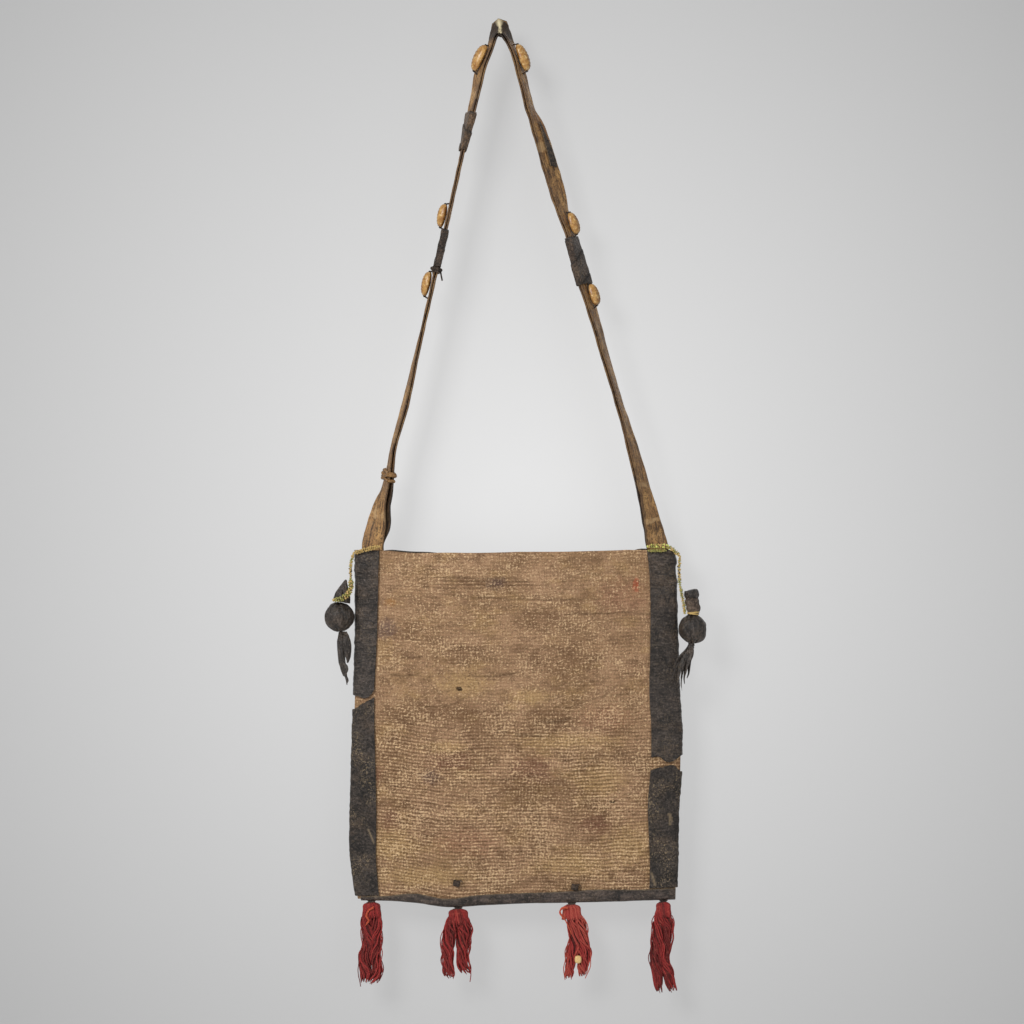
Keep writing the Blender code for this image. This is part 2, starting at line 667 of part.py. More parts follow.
def add_skein(name, x, under, lean, rings_mm, pivot):
    """One half of a tassel: yarn gathered at its head, its plies turning as they fall."""
    head = -(THONG_GAP + THONG_LENGTH + GAP)
    stations = [(head, 0, HEAD_R)]
    stations += [(-drop * MM, aside * MM, half * MM) for drop, aside, half in rings_mm]
    rings = []
    for i, (z, aside, half) in enumerate(stations):
        ring = []
        for k in range(2 * FLUTES):
            a = math.pi * k / FLUTES + TWIST * i
            r = half * (1 if k % 2 else 1 - FLUTE_DEPTH)
            y = TASSEL_Y + (lean if i > 1 else 0) + SKEIN_DEPTH * r * math.sin(a)
            ring.append(Vector((x + aside + r * math.cos(a), y, under + z)))
        rings.append(ring)
    return add_object(name, loft(rings), RED_YARN, pivot)


def add_tassels():
    for name, (side, inset, skeins) in TASSELS.items():
        x = in_from(side, inset)
        under = binding_underside(x)
        turn = (x, TASSEL_Y, under)
        thong_end = under - THONG_GAP - THONG_LENGTH + THONG_R
        top = under - THONG_GAP
        path = [Vector((x, TASSEL_Y, top - share * THONG_LENGTH)) for share in (0, 0.15, 0.85, 1)]
        radii = [THONG_R * 0.5, THONG_R, THONG_R, THONG_R * 0.5]
        thong = loft(tube_rings(path, radii, 8))
        add_object(name.replace("tassel", "tassel_thong"), thong, DARK_LEATHER, turn)
        pivot = (x, TASSEL_Y, thong_end)
        first = add_skein(name, x, under, -SKEIN_LEAN, skeins[0], pivot)
        unite(first, [add_skein(name + "_half", x, under, SKEIN_LEAN, skeins[1], pivot)])
    side, inset, _ = TASSELS["tassel_3"]
    x = in_from(side, inset)
    centre = Vector((x, TASSEL_Y, binding_underside(x))) + Vector(YARN_BEAD_PLACE) * MM
    add_blob("tassel_3_bead", BEADS, centre, YARN_BEAD_RADII, None, 10, 6)


def before_leather(side, out, up, radius=ROW_BEAD):
    """A bead's middle in front of a side band at the mouth: mm out from the cloth's edge, mm up."""
    place = corner(side, out, up, 0)
    place.y = front_at(place.x, -DROP - MM) - CLEAR - LEATHER - GAP - radius
    return place


def add_left_pendant():
    depth = ROW_DEPTH
    top = LEFT_TURN
    row = [before_leather(-1, *at) for at in ((-5.1, 0.5), (-13.2, 2.7), (-20.4, 4.3))]
    add_beads("left_bead_row", [corner(-1, *top, depth), *row], ROW_BEAD)
    turn = corner(-1, *top, depth)
    end = LEFT_PENDANT_TURN
    add_beads("left_bead_string", [
        corner(-1, top[0] + 0.3, top[1] - TURN_GAP, depth), corner(-1, 5.1, -10, depth),
        corner(-1, 5.5, -16, depth), corner(-1, *end, depth),
    ], BEAD, turn)
    pivot = corner(-1, *end, depth)
    ball_out, ball_up = LEFT_BALL
    ball_top = ball_up + BALL_LEFT / MM
    ball_low = ball_up - BALL_LEFT / MM
    hood_foot = ball_top + GAP / MM
    hood_axis = 13.6
    add_turned("left_pendant_hood", DARK_LEATHER, -1, (
        (11.4, -26.8, 0.8), (12.2, -31.5, 2.8), (13.1, -37, 4.4), (hood_axis, -42, 5.2),
        (hood_axis, hood_foot, 5.4),
    ), depth, pivot)
    add_beads("left_pendant_beads", [
        corner(-1, end[0], end[1] - TURN_GAP, depth), corner(-1, 6.4, -33.5, depth - 1.6),
        corner(-1, 9.4, -39.5, depth - 5.8), corner(-1, 14.6, -42.3, depth - 7.35),
        corner(-1, 19.4, -43, depth - 4.9),
    ], ROW_BEAD, pivot)
    radii = (BALL_LEFT * 1.03, BALL_LEFT * 0.97, BALL_LEFT)
    add_blob("left_pendant_ball", DARK_LEATHER, corner(-1, ball_out, ball_up, depth), radii, pivot, 16, 10)
    tails = add_turned("left_pendant_tails", DARK_LEATHER, -1, (
        (12.3, ball_low - GAP / MM, 3.2), (12.3, -78, 3.9), (11, -85.5, 4.5), (10.1, -95, 4.5),
        (9.7, -105, 4.1), (10, -114, 3.5), (10.6, -118, 2),
    ), depth, pivot, 8, 0.5)
    flap = add_turned("left_pendant_flap", DARK_LEATHER, -1, (
        (9.6, -76.5, 1.6), (7.8, -83, 2.1), (6.6, -90, 2.3), (6.4, -96, 1.8),
    ), depth - 1.6, pivot, 6, 0.7)
    unite(tails, [flap])


def add_right_pendant():
    depth = ROW_DEPTH
    top = RIGHT_TURN
    row = [before_leather(1, *at) for at in ((-23.4, 4.3), (-8, 4.6), (-2.2, 2.4), (2, -0.9))]
    add_beads("right_bead_row", [*row, corner(1, *top, depth)], ROW_BEAD)
    lower = [before_leather(1, *at, SMALL_BEAD) for at in ((-22.6, 0.4), (-15, 0.5), (-7, 0.5))]
    add_beads("right_bead_row_lower", lower, SMALL_BEAD)
    turn = corner(1, *top, depth)
    end = RIGHT_PENDANT_TURN
    add_beads("right_bead_string", [
        corner(1, top[0] + 0.2, top[1] - TURN_GAP, depth), corner(1, 4.9, -14, depth),
        corner(1, 5.1, -22, depth), corner(1, *end, depth),
    ], BEAD, turn)
    pivot = corner(1, *end, depth)
    ball_out, ball_up = RIGHT_BALL
    ball_top = ball_up + BALL_RIGHT / MM
    ball_low = ball_up - BALL_RIGHT / MM
    add_beads("right_pendant_beads", [
        corner(1, end[0] + 0.3, end[1] - TURN_GAP, depth), corner(1, 7.9, -42, depth),
        corner(1, 9.3, -49, depth), corner(1, 9.8, -55.5, depth - 3),
    ], 1.35 * MM, pivot)
    add_turned("right_pendant_cap", DARK_LEATHER, 1, (
        (16, -35, 3.4), (16, -36.6, 5.8), (16, -39.6, 6.4), (16, -42, 5.2),
    ), depth, pivot)
    add_turned("right_pendant_neck", DARK_LEATHER, 1, (
        (16.6, -42.5, 4.8), (16.6, -46, 5.7), (17.6, -51, 5.6), (17.6, -54, 4.4),
    ), depth, pivot)
    add_turned("right_pendant_tie", BEADS, 1, (
        (17.6, -54.4, 4), (17.6, -55, 5.3), (17.6, -56, 5.3), (17.6, ball_top + GAP / MM, 4),
    ), depth, pivot)
    ball = add_blob("right_pendant_ball", DARK_LEATHER, corner(1, ball_out, ball_up, depth),
                    (BALL_RIGHT, BALL_RIGHT * 0.97, BALL_RIGHT), pivot, 16, 10)
    lobe = add_blob("right_pendant_lap", DARK_LEATHER, corner(1, ball_out + 3.6, ball_up - 4.2, depth - 2.4),
                    (9.3 * MM, 9 * MM, 8.2 * MM), pivot, 12, 8)
    unite(ball, [lobe])
    tails = add_turned("right_pendant_tails", DARK_LEATHER, 1, (
        (15.8, ball_low - GAP / MM, 2.6), (15.8, -87, 2.7), (13, -94, 3.6), (8, -102, 5), (4, -110, 5.2),
        (1.6, -118, 3.6), (2.4, -125, 1.2),
    ), depth, pivot, 8, 0.45)
    second = add_turned("right_pendant_strip", DARK_LEATHER, 1, (
        (15.8, -88, 1.8), (14, -97, 2.4), (10.6, -106, 2.5), (8.4, -114, 1.6),
    ), depth - 1.4, pivot, 6, 0.7)
    unite(tails, [second])


# Each knot's nearer side, mm in from it and mm above the cloth's lower line
FACE_KNOTS = (("face_knot_left", -1, 89.5, 16.8), ("face_knot_right", 1, 88.4, 13.2))


def add_face_knots():
    """The knotted ends of two thongs, on the cloth just above the binding."""
    radii = (KNOT_R, KNOT_R * 0.8, KNOT_R * 0.9)
    for name, side, inset, up in FACE_KNOTS:
        x, z = in_from(side, inset), -DROP - BAG_HEIGHT + up * MM
        y = front_at(x, z + KNOT_R / 2) - GAP - radii[1]
        add_blob(name, DARK_LEATHER, Vector((x, y, z)), radii, None, 10, 6)


# For each cowrie: leg, share of the drop, length, breadth and height in mm, place across the strap
COWRIES = (
    (-1, 0.044, 25, 14, 9, 0.0), (1, 0.042, 25, 14, 9, 0.0),
    (-1, 0.3485, 21, 13, 8, 0.0), (-1, 0.4815, 22, 13.5, 8, 0.0),
    (1, 0.3645, 20, 13, 7.5, 0.15), (1, 0.503, 19.5, 12, 7.5, 0.1),
)
TIE_SHARES = (0.4485, 0.4545)
TIE_KNOT_R = 1.5 * MM


def add_strap_trim(axes):
    add_wrap("strap_wrap_left_upper", axes, -1, 0.145, 0.219)
    add_wrap("strap_wrap_left", axes, -1, 0.374, 0.446)
    add_wrap("strap_wrap_right", axes, 1, 0.388, 0.48)
    add_patch("strap_patch_right", axes, 1, 0.165, 0.249, (0, 0.2), (-0.2, 0.85))
    tie = add_wrap("strap_tie", axes, -1, *TIE_SHARES)
    centre, width, normal, _ = frame_at(axes, -1, sum(TIE_SHARES) / 2)
    knots = []
    for sign in (1, -1):
        outwards = normal * sign * (STRAP_T / 2 + GAP + THIN_LEATHER + TIE_KNOT_R / 3)
        place = centre - width * (STRAP_WIDTH / 2 - 2 * MM) + outwards
        knots.append(add_blob("strap_tie_knot", DARK_LEATHER, place, (TIE_KNOT_R,) * 3, None, 8, 6))
    unite(tie, knots)
    for i, (side, share, length, breadth, height, place) in enumerate(COWRIES, 1):
        add_cowrie(f"cowrie_{i}", axes, side, share, length * MM, breadth * MM, height * MM, place)


def main():
    for old in list(bpy.data.objects):
        bpy.data.objects.remove(old, do_unlink=True)
    add_rear_panel()
    add_face_panel()
    add_bands_and_binding()
    axes = strap_axes(strap_frames())
    add_strap(axes)
    add_strap_trim(axes)
    add_left_pendant()
    add_right_pendant()
    add_tassels()
    add_face_knots()


main()
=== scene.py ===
"""The looks of a flat shoulder bag: ribbed cloth bound in dark leather, hung by a long folded strap.

Metres, +Z up, seen from -Y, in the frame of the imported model. It is laid out as an add-on and run as
a script: main() registers the classes and calls one operator after another.
"""

import math
import random

import bmesh
import bpy
from bpy.props import FloatProperty, FloatVectorProperty, IntProperty, PointerProperty
from mathutils import Matrix, Vector, noise


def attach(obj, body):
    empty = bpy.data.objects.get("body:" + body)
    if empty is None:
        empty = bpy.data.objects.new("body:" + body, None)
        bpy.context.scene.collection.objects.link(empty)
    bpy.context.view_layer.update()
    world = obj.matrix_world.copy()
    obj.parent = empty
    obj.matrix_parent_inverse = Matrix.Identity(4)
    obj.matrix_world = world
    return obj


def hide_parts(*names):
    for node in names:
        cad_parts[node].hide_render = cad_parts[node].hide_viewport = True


bl_info = {
    "name": "Bound shoulder bag",
    "version": (1, 0, 0),
    "blender": (4, 5, 0),
    "location": "3D View > Sidebar > Bag",
    "description": "Cloth, leather, strap, shells, beads and yarn of a flat shoulder bag",
    "category": "Object",
}

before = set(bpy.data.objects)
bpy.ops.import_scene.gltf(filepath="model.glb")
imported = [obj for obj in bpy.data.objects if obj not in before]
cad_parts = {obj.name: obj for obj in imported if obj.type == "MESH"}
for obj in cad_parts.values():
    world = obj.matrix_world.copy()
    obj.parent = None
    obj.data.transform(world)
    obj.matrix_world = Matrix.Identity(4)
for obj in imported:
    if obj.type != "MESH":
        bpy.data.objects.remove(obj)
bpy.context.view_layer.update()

MM = 0.001

# The pouch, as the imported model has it
DROP = 460.3 * MM
BAG_WIDTH = 284 * MM
BAG_HEIGHT = 315 * MM
MIDDLE_X = 13.6 * MM
BELLY = 10 * MM
REAR_T = 1.8 * MM
GAP = 0.35 * MM
CLEAR = 0.5 * MM
LEATHER = 1.3 * MM
EDGE_CLEAR = 0.8 * MM
FLANGE_REAR = 20 * MM
BINDING_START = 0.01
# Shares across the cloth, and at each of them the waves of its lower and upper edge and the height of the
# binding, all in mm
COLUMNS = (0, 0.09, 0.18, 0.28, 0.38, 0.5, 0.62, 0.75, 0.88, 1)
BOTTOM_WAVE = (2.5, 2.3, 0.3, -3.5, -2.2, -0.5, 0.2, 1.0, 2.2, 3.3)
TOP_WAVE = (0.9, 0.5, -1.6, -1.3, -1.5, -0.8, -0.6, 0.2, 1.1, 0.7)
BINDING_HEIGHT = (2.2, 2.8, 7, 6, 8, 8, 8.4, 9.8, 8.6, 9)
# Along the height, from the bottom up: gap at the sides, swell of the middle, how far a side edge wanders
# and how wide its band is, in mm
SIDE_GAP = ((0, 0.6), (0.72, 0.6), (0.93, 5.0), (1, 5.2))
BELLY_RISE = ((0, 0), (0.04, 0.02), (0.12, 0.45), (0.25, 0.8), (0.5, 1), (0.8, 0.85), (1, 0.4))
WANDER = {
    -1: ((0, 1), (0.05, -1.7), (0.15, -5.2), (0.36, -4.1), (0.6, -1.9), (0.77, -0.4), (1, 0)),
    1: ((0, 2), (0.1, 2.8), (0.27, 3.9), (0.36, 6.3), (0.5, 6.6), (0.6, 4.5), (0.8, 2.5), (1, 0)),
}
FLANGE = {
    -1: ((0, 21.5), (0.2, 24.6), (0.35, 22.9), (0.48, 20.8), (0.6, 19.6), (0.71, 20.1), (1, 21.9)),
    1: ((0, 24), (0.1, 24), (0.3, 27.6), (0.41, 27), (0.58, 26.5), (0.72, 24.4), (0.9, 22.6), (1, 24)),
}
# Depth of each tear under the mouth, then its upper and lower line in mm from the outer to the inner edge
TEAR = {
    -1: (131, (0, 1.5, 3, 1, -5), (13, 9.5, 6.5, 4.2, 1.5)),
    1: (187, (-1.5, 4, 4, -0.5, 0), (13.7, 7.5, 8.3, 9.5, 11.7)),
}

# The strap's legs: share of the drop, sideways bend in mm, roll in degrees
STRAP_WIDTH = 19.5 * MM
STRAP_LAYER = 1.4 * MM
STRAP_FOLD_GAP = 0.8 * MM
STRAP_T = 2 * STRAP_LAYER + STRAP_FOLD_GAP
FOOT_INSET = 13.7 * MM
FOOT_DEPTH = 14 * MM
ARCH_DEPTH = -4
LEG = {
    -1: (
        (0.035, -7.4, 78), (0.068, -10.5, 68), (0.102, -9.8, 71), (0.168, -9, 78), (0.243, -7.8, 87),
        (0.341, -6.4, 88), (0.456, -5.4, 87), (0.599, -4, 85), (0.72, -3.3, 77), (0.797, -4.2, 79),
        (0.869, -1.4, 70), (0.912, -2.6, 50), (0.945, -2, 25), (0.985, -1.3, 4), (1, 0, 0),
    ),
    1: (
        (0.035, 8.7, 80), (0.068, 9.2, 70), (0.102, 8.6, 73), (0.14, 7.9, 70), (0.175, 10, 54),
        (0.248, 10.1, 47), (0.298, 9.5, 48), (0.341, 8.9, 60), (0.384, 9.2, 67), (0.47, 8.3, 58),
        (0.527, 7.9, 66), (0.62, 6.6, 73), (0.72, 6.3, 73), (0.8, 6, 62), (0.885, 4.5, 52),
        (0.945, 2.8, 36), (0.985, 1.2, 10), (1, 0, 0),
    ),
}
# The arch over the peg: ridge x and z, hem x and z, lean and half opening in mm
ARCH = (
    (-5.4, 8.2, -6.2, -4.5, 6.6, 0.2), (-2.3, 14.2, -4.1, -0.4, 5.8, 0.3), (0, 19.2, 0, 1.2, 4.4, 0.4),
    (2.7, 14.2, 4.5, -0.4, 5.8, 0.3), (6.4, 8.2, 6.8, -4.5, 6.6, 0.2),
)


# Settings

def linear(hex_colour):
    """The linear RGB of an sRGB hex colour."""
    channels = [int(hex_colour[i:i + 2], 16) / 255 for i in (1, 3, 5)]
    return tuple(c / 12.92 if c <= 0.04045 else ((c + 0.055) / 1.055) ** 2.4 for c in channels)


def length_prop(name, description, default):
    return FloatProperty(name=name, description=description, default=default, unit="LENGTH", precision=5)


def colour_prop(name, description, default):
    return FloatVectorProperty(
        name=name, description=description, default=linear(default), subtype="COLOR", size=3, min=0, max=1
    )


class PouchSettings(bpy.types.PropertyGroup):
    """Sizes and colours of the ribbed cloth"""

    cloth: length_prop("Cloth", "Thickness of the cloth between its ribs", 1.6 * MM)
    rib_pitch: length_prop("Rib pitch", "From one rib of the weave to the next", 3.1 * MM)
    rib_height: length_prop("Rib height", "How far a rib stands out", 0.46 * MM)
    crease_depth: length_prop("Crease depth", "How deep the old creases are", 0.9 * MM)
    cloth_colour: colour_prop("Cloth", "Dirty brown of the cloth", "#b69271")
    # The groove colour is painted shade between the ribs and the warp loops.
    groove_shade_colour: colour_prop("Grooves", "Dirt between the ribs", "#573f2c")
    worn_colour: colour_prop("Worn threads", "Bare threads on the ribs", "#e2c197")


class LeatherSettings(bpy.types.PropertyGroup):
    """Sizes and colours of the leather"""

    thickness: length_prop("Leather", "Thickness of bands and binding", 1.3 * MM)
    thin: length_prop("Thin leather", "Thickness of wraps and patches", 1.0 * MM)
    wrinkle: length_prop("Wrinkles", "Height of the wrinkles", 0.22 * MM)
    band_colour: colour_prop("Bands", "Blackened goat leather", "#38302a")
    binding_colour: colour_prop("Binding", "Smooth black leather", "#3a302a")
    pendant_colour: colour_prop("Pendants", "Soft black leather", "#332c27")
    wear_colour: colour_prop("Wear", "Leather rubbed bare", "#8d7a5f")
    edge_colour: colour_prop("Cut edge", "Raw cut edge of the leather", "#6f5a42")


class StrapSettings(bpy.types.PropertyGroup):
    """Sizes and colours of the strap"""

    strap_colour: colour_prop("Strap", "Handled brown of the strap", "#9a7348")
    dark_colour: colour_prop("Strap grime", "Dark streaks and edges", "#3a2819")
    light_colour: colour_prop("Strap wear", "Golden worn streaks", "#c89c62")
    shell_colour: colour_prop("Cowries", "Yellowed shell", "#bd9150")
    # The cowrie dark colour also paints shade on each shell's side against the strap.
    shell_dark: colour_prop("Cowrie grime", "Dirt in the slit and round the shell", "#5f3c18")


class TrimSettings(bpy.types.PropertyGroup):
    """Sizes and colours of beads and yarn"""

    strand: length_prop("Yarn", "Radius of one strand of yarn", 0.62 * MM)
    strands: IntProperty(name="Strands", description="Strands in each half of a tassel", default=30, min=5)
    bead_green: colour_prop("Green beads", "Yellow green glass", "#98934f")
    bead_gold: colour_prop("Gold beads", "Straw coloured glass", "#c1a364")
    yarn_red: colour_prop("Yarn", "Faded red of the yarn", "#ab302e")
    # The dark yarn colour is also the painted shade inside the skeins and between the plies.
    yarn_dark: colour_prop("Yarn shade", "Dark maroon of the inner yarn", "#561918")
    yarn_light: colour_prop("Yarn light", "Bright new yarn", "#e2725c")


class StageSettings(bpy.types.PropertyGroup):
    """Camera, backdrop and lamps"""

    pixel: length_prop("Pixel", "Size of one pixel of the picture at the bag", 0.9 * MM)
    wall_gap: length_prop("Wall gap", "From the bag's back to the backdrop", 26 * MM)
    pale: colour_prop("Backdrop", "Middle of the backdrop", "#e4e4e4")
    grey: colour_prop("Backdrop edge", "Edges of the backdrop", "#b4b4b4")


class BagSettings(bpy.types.PropertyGroup):
    """Everything that can be set"""

    pouch: PointerProperty(type=PouchSettings)
    leather: PointerProperty(type=LeatherSettings)
    strap: PointerProperty(type=StrapSettings)
    trim: PointerProperty(type=TrimSettings)
    stage: PointerProperty(type=StageSettings)


# Small tools

def lerp(a, b, t):
    return a + (b - a) * t


def clamp(x, low=0.0, high=1.0):
    return min(high, max(low, x))


def ease(low, high, x):
    """0 at low, 1 at high, smooth between them."""
    t = clamp((x - low) / (high - low))
    return t * t * (3 - 2 * t)


def turns(count):
    """count + 1 angles round a full turn."""
    return [2 * math.pi * i / count for i in range(count + 1)]


def through(points, t):
    """The value at t of a smooth line through (t, value) points."""
    if t <= points[0][0]:
        return points[0][1]
    for i in range(1, len(points)):
        (t0, a), (t1, b) = points[i - 1], points[i]
        if t <= t1:
            before, after = points[max(0, i - 2)], points[min(len(points) - 1, i + 1)]
            width = t1 - t0
            rise_a = (b - before[1]) / (t1 - before[0]) * width
            rise_b = (after[1] - a) / (after[0] - t0) * width
            s = (t - t0) / width
            return (
                a * (2 * s**3 - 3 * s**2 + 1) + rise_a * (s**3 - 2 * s**2 + s)
                + b * (3 * s**2 - 2 * s**3) + rise_b * (s**3 - s**2)
            )
    return points[-1][1]


def across(values, u):
    return through(tuple(zip(COLUMNS, values)), u)


def ripple(point, size, seed=0.0):
    """Smooth noise from -1 to 1 whose lumps are about size metres, or (x, y, z) metres."""
    size = Vector((size,) * 3) if isinstance(size, float) else Vector(size)
    return noise.noise(Vector((point[0] / size[0] + seed, point[1] / size[1], point[2] / size[2] - seed)))


def smooth_path(points, steps):
    """Points on a smooth curve through tuples of numbers, with steps stretches between two of them."""
    points = [Vector(p) for p in points]
    ends = [2 * points[0] - points[1], *points, 2 * points[-1] - points[-2]]
    found = []
    for i in range(1, len(ends) - 2):
        a, b, c, d = ends[i - 1:i + 3]
        for k in range(steps):
            t = k / steps
            found.append(
                0.5 * (2 * b + (c - a) * t + (2 * a - 5 * b + 4 * c - d) * t**2
                       + (3 * b - a - 3 * c + d) * t**3)
            )
    return found + [points[-1]]


def evenly(points, count):
    """count + 1 points at equal steps along a path."""
    lengths = [0.0]
    for a, b in zip(points, points[1:]):
        lengths.append(lengths[-1] + (b - a).length)
    found, i = [], 0
    for k in range(count + 1):
        want = lengths[-1] * k / count
        while i < len(points) - 2 and lengths[i + 1] < want:
            i += 1
        share = clamp((want - lengths[i]) / (lengths[i + 1] - lengths[i]))
        found.append(points[i].lerp(points[i + 1], share))
    return found


def travel(points):
    """(point, tangent, side, front) along a path, the sides turning as little as they can."""
    found, side = [], None
    for i, point in enumerate(points):
        tangent = (points[min(len(points) - 1, i + 1)] - points[max(0, i - 1)]).normalized()
        if side is None:
            side = tangent.cross(Vector((0, 1, 0)))
            side = side if side.length > 0.1 else Vector((1, 0, 0))
        side = (side - tangent * side.dot(tangent)).normalized()
        found.append((point, tangent, side, tangent.cross(side)))
    return found


# Mesh making: every sheet and tube is a grid whose vertices are put in place by a rule

def lay_grid(built, columns, rows, place, size=(1.0, 1.0), marks=()):
    """Adds a grid to a bmesh and moves its vertices to place(u, v).

    Its UV map runs over size, in metres. With marks, place returns a point and a number for each
    named mark, which becomes an attribute.
    """
    uv = built.loops.layers.uv.get("UVMap") or built.loops.layers.uv.new("UVMap")
    layers = [built.verts.layers.float.get(m) or built.verts.layers.float.new(m) for m in marks]
    made = bmesh.ops.create_grid(built, x_segments=columns, y_segments=rows, size=0.5)
    for face in {face for vert in made["verts"] for face in vert.link_faces}:
        for loop in face.loops:
            at = loop.vert.co
            loop[uv].uv = ((at.x + 0.5) * size[0], (at.y + 0.5) * size[1])
    for vert in made["verts"]:
        found = place(vert.co.x + 0.5, vert.co.y + 0.5)
        if marks:
            found, *values = found
            for layer, value in zip(layers, values):
                vert[layer] = value
        vert.co = found
    return made["verts"]


def close_up(built, dist=1e-6):
    """Merges seams and poles, caps open ends and turns the faces outwards."""
    bmesh.ops.remove_doubles(built, verts=built.verts, dist=dist)
    open_edges = [edge for edge in built.edges if edge.is_boundary]
    if open_edges:
        bmesh.ops.holes_fill(built, edges=open_edges, sides=0)
    bmesh.ops.recalc_face_normals(built, faces=built.faces)
    return built


def lay_tube(built, path, radius, sides, marks=(), values=(), flat=1.0, pleats=(0, 0.0)):
    """Adds a tube round a path. Its radius is a number or a rule of the share along it.

    flat is its depth as a share of its width, and pleats are (count, depth share).
    """
    frames = travel(path)
    rows = len(path) - 1
    run = sum((b - a).length for a, b in zip(path, path[1:]))
    rule = radius if callable(radius) else lambda v: radius

    def place(u, v):
        point, _, side, front = frames[round(v * rows)]
        angle = 2 * math.pi * u
        r = rule(v) * (1 + pleats[1] * math.cos(pleats[0] * angle))
        found = point + r * (math.cos(angle) * side + flat * math.sin(angle) * front)
        return (found, *values) if marks else found

    return lay_grid(built, sides, rows, place, (2 * math.pi * rule(0.5), run), marks)


def rumple(built, *waves, share=None, low=-0.2 * MM):
    """Moves each vertex along its normal by noise, not further in than low.

    A wave is (height, lump size in metres, seed), and share is a rule that scales them at a place.
    """
    built.normal_update()
    moves = []
    for vert in built.verts:
        move = sum(height * ripple(vert.co, size, seed) for height, size, seed in waves)
        moves.append((vert, max(low, move * (share(vert.co) if share else 1))))
    for vert, move in moves:
        vert.co += vert.normal * move
    return built


def add_piece(name, built, finishes, body="bag", stands_for=None, sharp=50):
    """Makes an object of a bmesh, with its finishes, body, CAD nodes (its own name's, if none) and slot."""
    mesh = bpy.data.meshes.new(name)
    built.to_mesh(mesh)
    built.free()
    for finish in finishes if isinstance(finishes, (list, tuple)) else [finishes]:
        mesh.materials.append(finish)
    mesh.shade_smooth()
    mesh.set_sharp_from_angle(angle=math.radians(sharp))
    piece = bpy.data.objects.new(name, mesh)
    bpy.context.scene.collection.objects.link(piece)
    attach(piece, body)
    if stands_for is None:
        stands_for = [name]
    if stands_for:
        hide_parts(*stands_for)
    return piece


def give_wall(piece, thickness, offset, rim=0, rounded=False):
    """Gives a sheet its thickness, with another finish on its cut edge where rim is 1."""
    wall = piece.modifiers.new("wall", "SOLIDIFY")
    wall.thickness = thickness
    wall.offset = offset
    wall.material_offset_rim = rim
    if rounded:
        edge = piece.modifiers.new("worn_edge", "BEVEL")
        edge.width = 0.3 * MM
        edge.segments = 2
        edge.limit_method = "ANGLE"
        edge.angle_limit = math.radians(60)
    return piece


# The pouch's surface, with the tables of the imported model

def cloth_edge(side, z):
    """X of the cloth's left (-1) or right (1) edge."""
    return MIDDLE_X + side * BAG_WIDTH / 2 + through(WANDER[side], (z + DROP + BAG_HEIGHT) / BAG_HEIGHT) * MM


def cloth_z(u, v):
    low = -DROP - BAG_HEIGHT + across(BOTTOM_WAVE, u) * MM
    return lerp(low, -DROP + across(TOP_WAVE, u) * MM, v)


def gape(u, v):
    """Distance from the rear panel to the cloth."""
    belly = (1 - abs(2 * clamp(u) - 1) ** 2) ** 0.7
    return max(0.5, through(SIDE_GAP, v)) * MM + BELLY * clamp(through(BELLY_RISE, v), 0, 1.1) * belly


def face_point(u, v, out):
    """A point at share u across and v up the cloth, out in front of its inner face."""
    z = cloth_z(u, v)
    return Vector((lerp(cloth_edge(-1, z), cloth_edge(1, z), u), -gape(u, v) - out, z))


def across_at(x, z):
    """Share across the cloth at a place seen from the front."""
    left, right = cloth_edge(-1, z), cloth_edge(1, z)
    return clamp((x - left) / (right - left))


def down(point):
    """Mm right of the peg and mm under the mouth."""
    return point.x / MM, (-DROP - point.z) / MM


def front_at(x, z, cloth):
    """Y of the cloth's front at a place seen from the front."""
    u = across_at(x, z)
    v = clamp((z - cloth_z(u, 0)) / (cloth_z(u, 1) - cloth_z(u, 0)))
    return -gape(u, v) - cloth


# Finishes

PAPER_LIT = 0.22  # share of the backdrop's brightness that the lamps give, and so its shadows
# Share of the backdrop's brightness that is its own glow, not lamp light.
PAPER_GLOW = 0.79
WAVE = 2 * math.pi / 20  # period of Blender's wave texture at scale 1
WARP_PITCH = 2.7 * MM
PLY_ANGLE = math.radians(38)

# Old spots on the cloth: mm right of the peg, mm under the mouth, half width, half height, kind
SPOTS = (
    (-3.6, 28.5, 8, 4.5, "stain"), (-103, 70, 10, 8, "stain"), (-83, 74, 9, 7, "dirt"),
    (-62, 203, 9, 6, "stain"), (-45, 188, 20, 9, "plum"), (-112, 200, 7, 8, "plum"),
    (-98, 243, 7, 10, "plum"), (28, 196, 16, 12, "plum"), (15, 9, 10, 6, "dirt"), (36, 62, 18, 10, "dirt"),
    (-30, 92, 24, 9, "dirt"), (56, 100, 26, 16, "dirt"), (50, 152, 24, 11, "dirt"),
    (-60, 146, 34, 9, "dirt"), (20, 215, 28, 14, "dirt"), (-20, 150, 30, 12, "dirt"),
    (84, 245, 14, 8, "plum"), (122, 30, 3, 6, "red"), (-98.5, 46, 4.5, 3.5, "rust"),
    (-33, 119, 21, 10, "worn"), (-47, 176, 14, 5, "worn"), (62, 170, 34, 6, "worn"),
    (92, 205, 18, 12, "worn"), (115, 265, 20, 16, "worn"), (-70, 292, 44, 9, "worn"),
    (66, 282, 34, 9, "worn"), (-98, 262, 18, 14, "worn"), (28, 130, 16, 6, "worn"),
    (95, 150, 20, 10, "rose"), (-30, 262, 26, 12, "rose"), (110, 40, 20, 14, "rose"),
    (-37, 123.5, 2.8, 1.9, "hole"), (101, 225, 3.4, 1.3, "hole"),
)
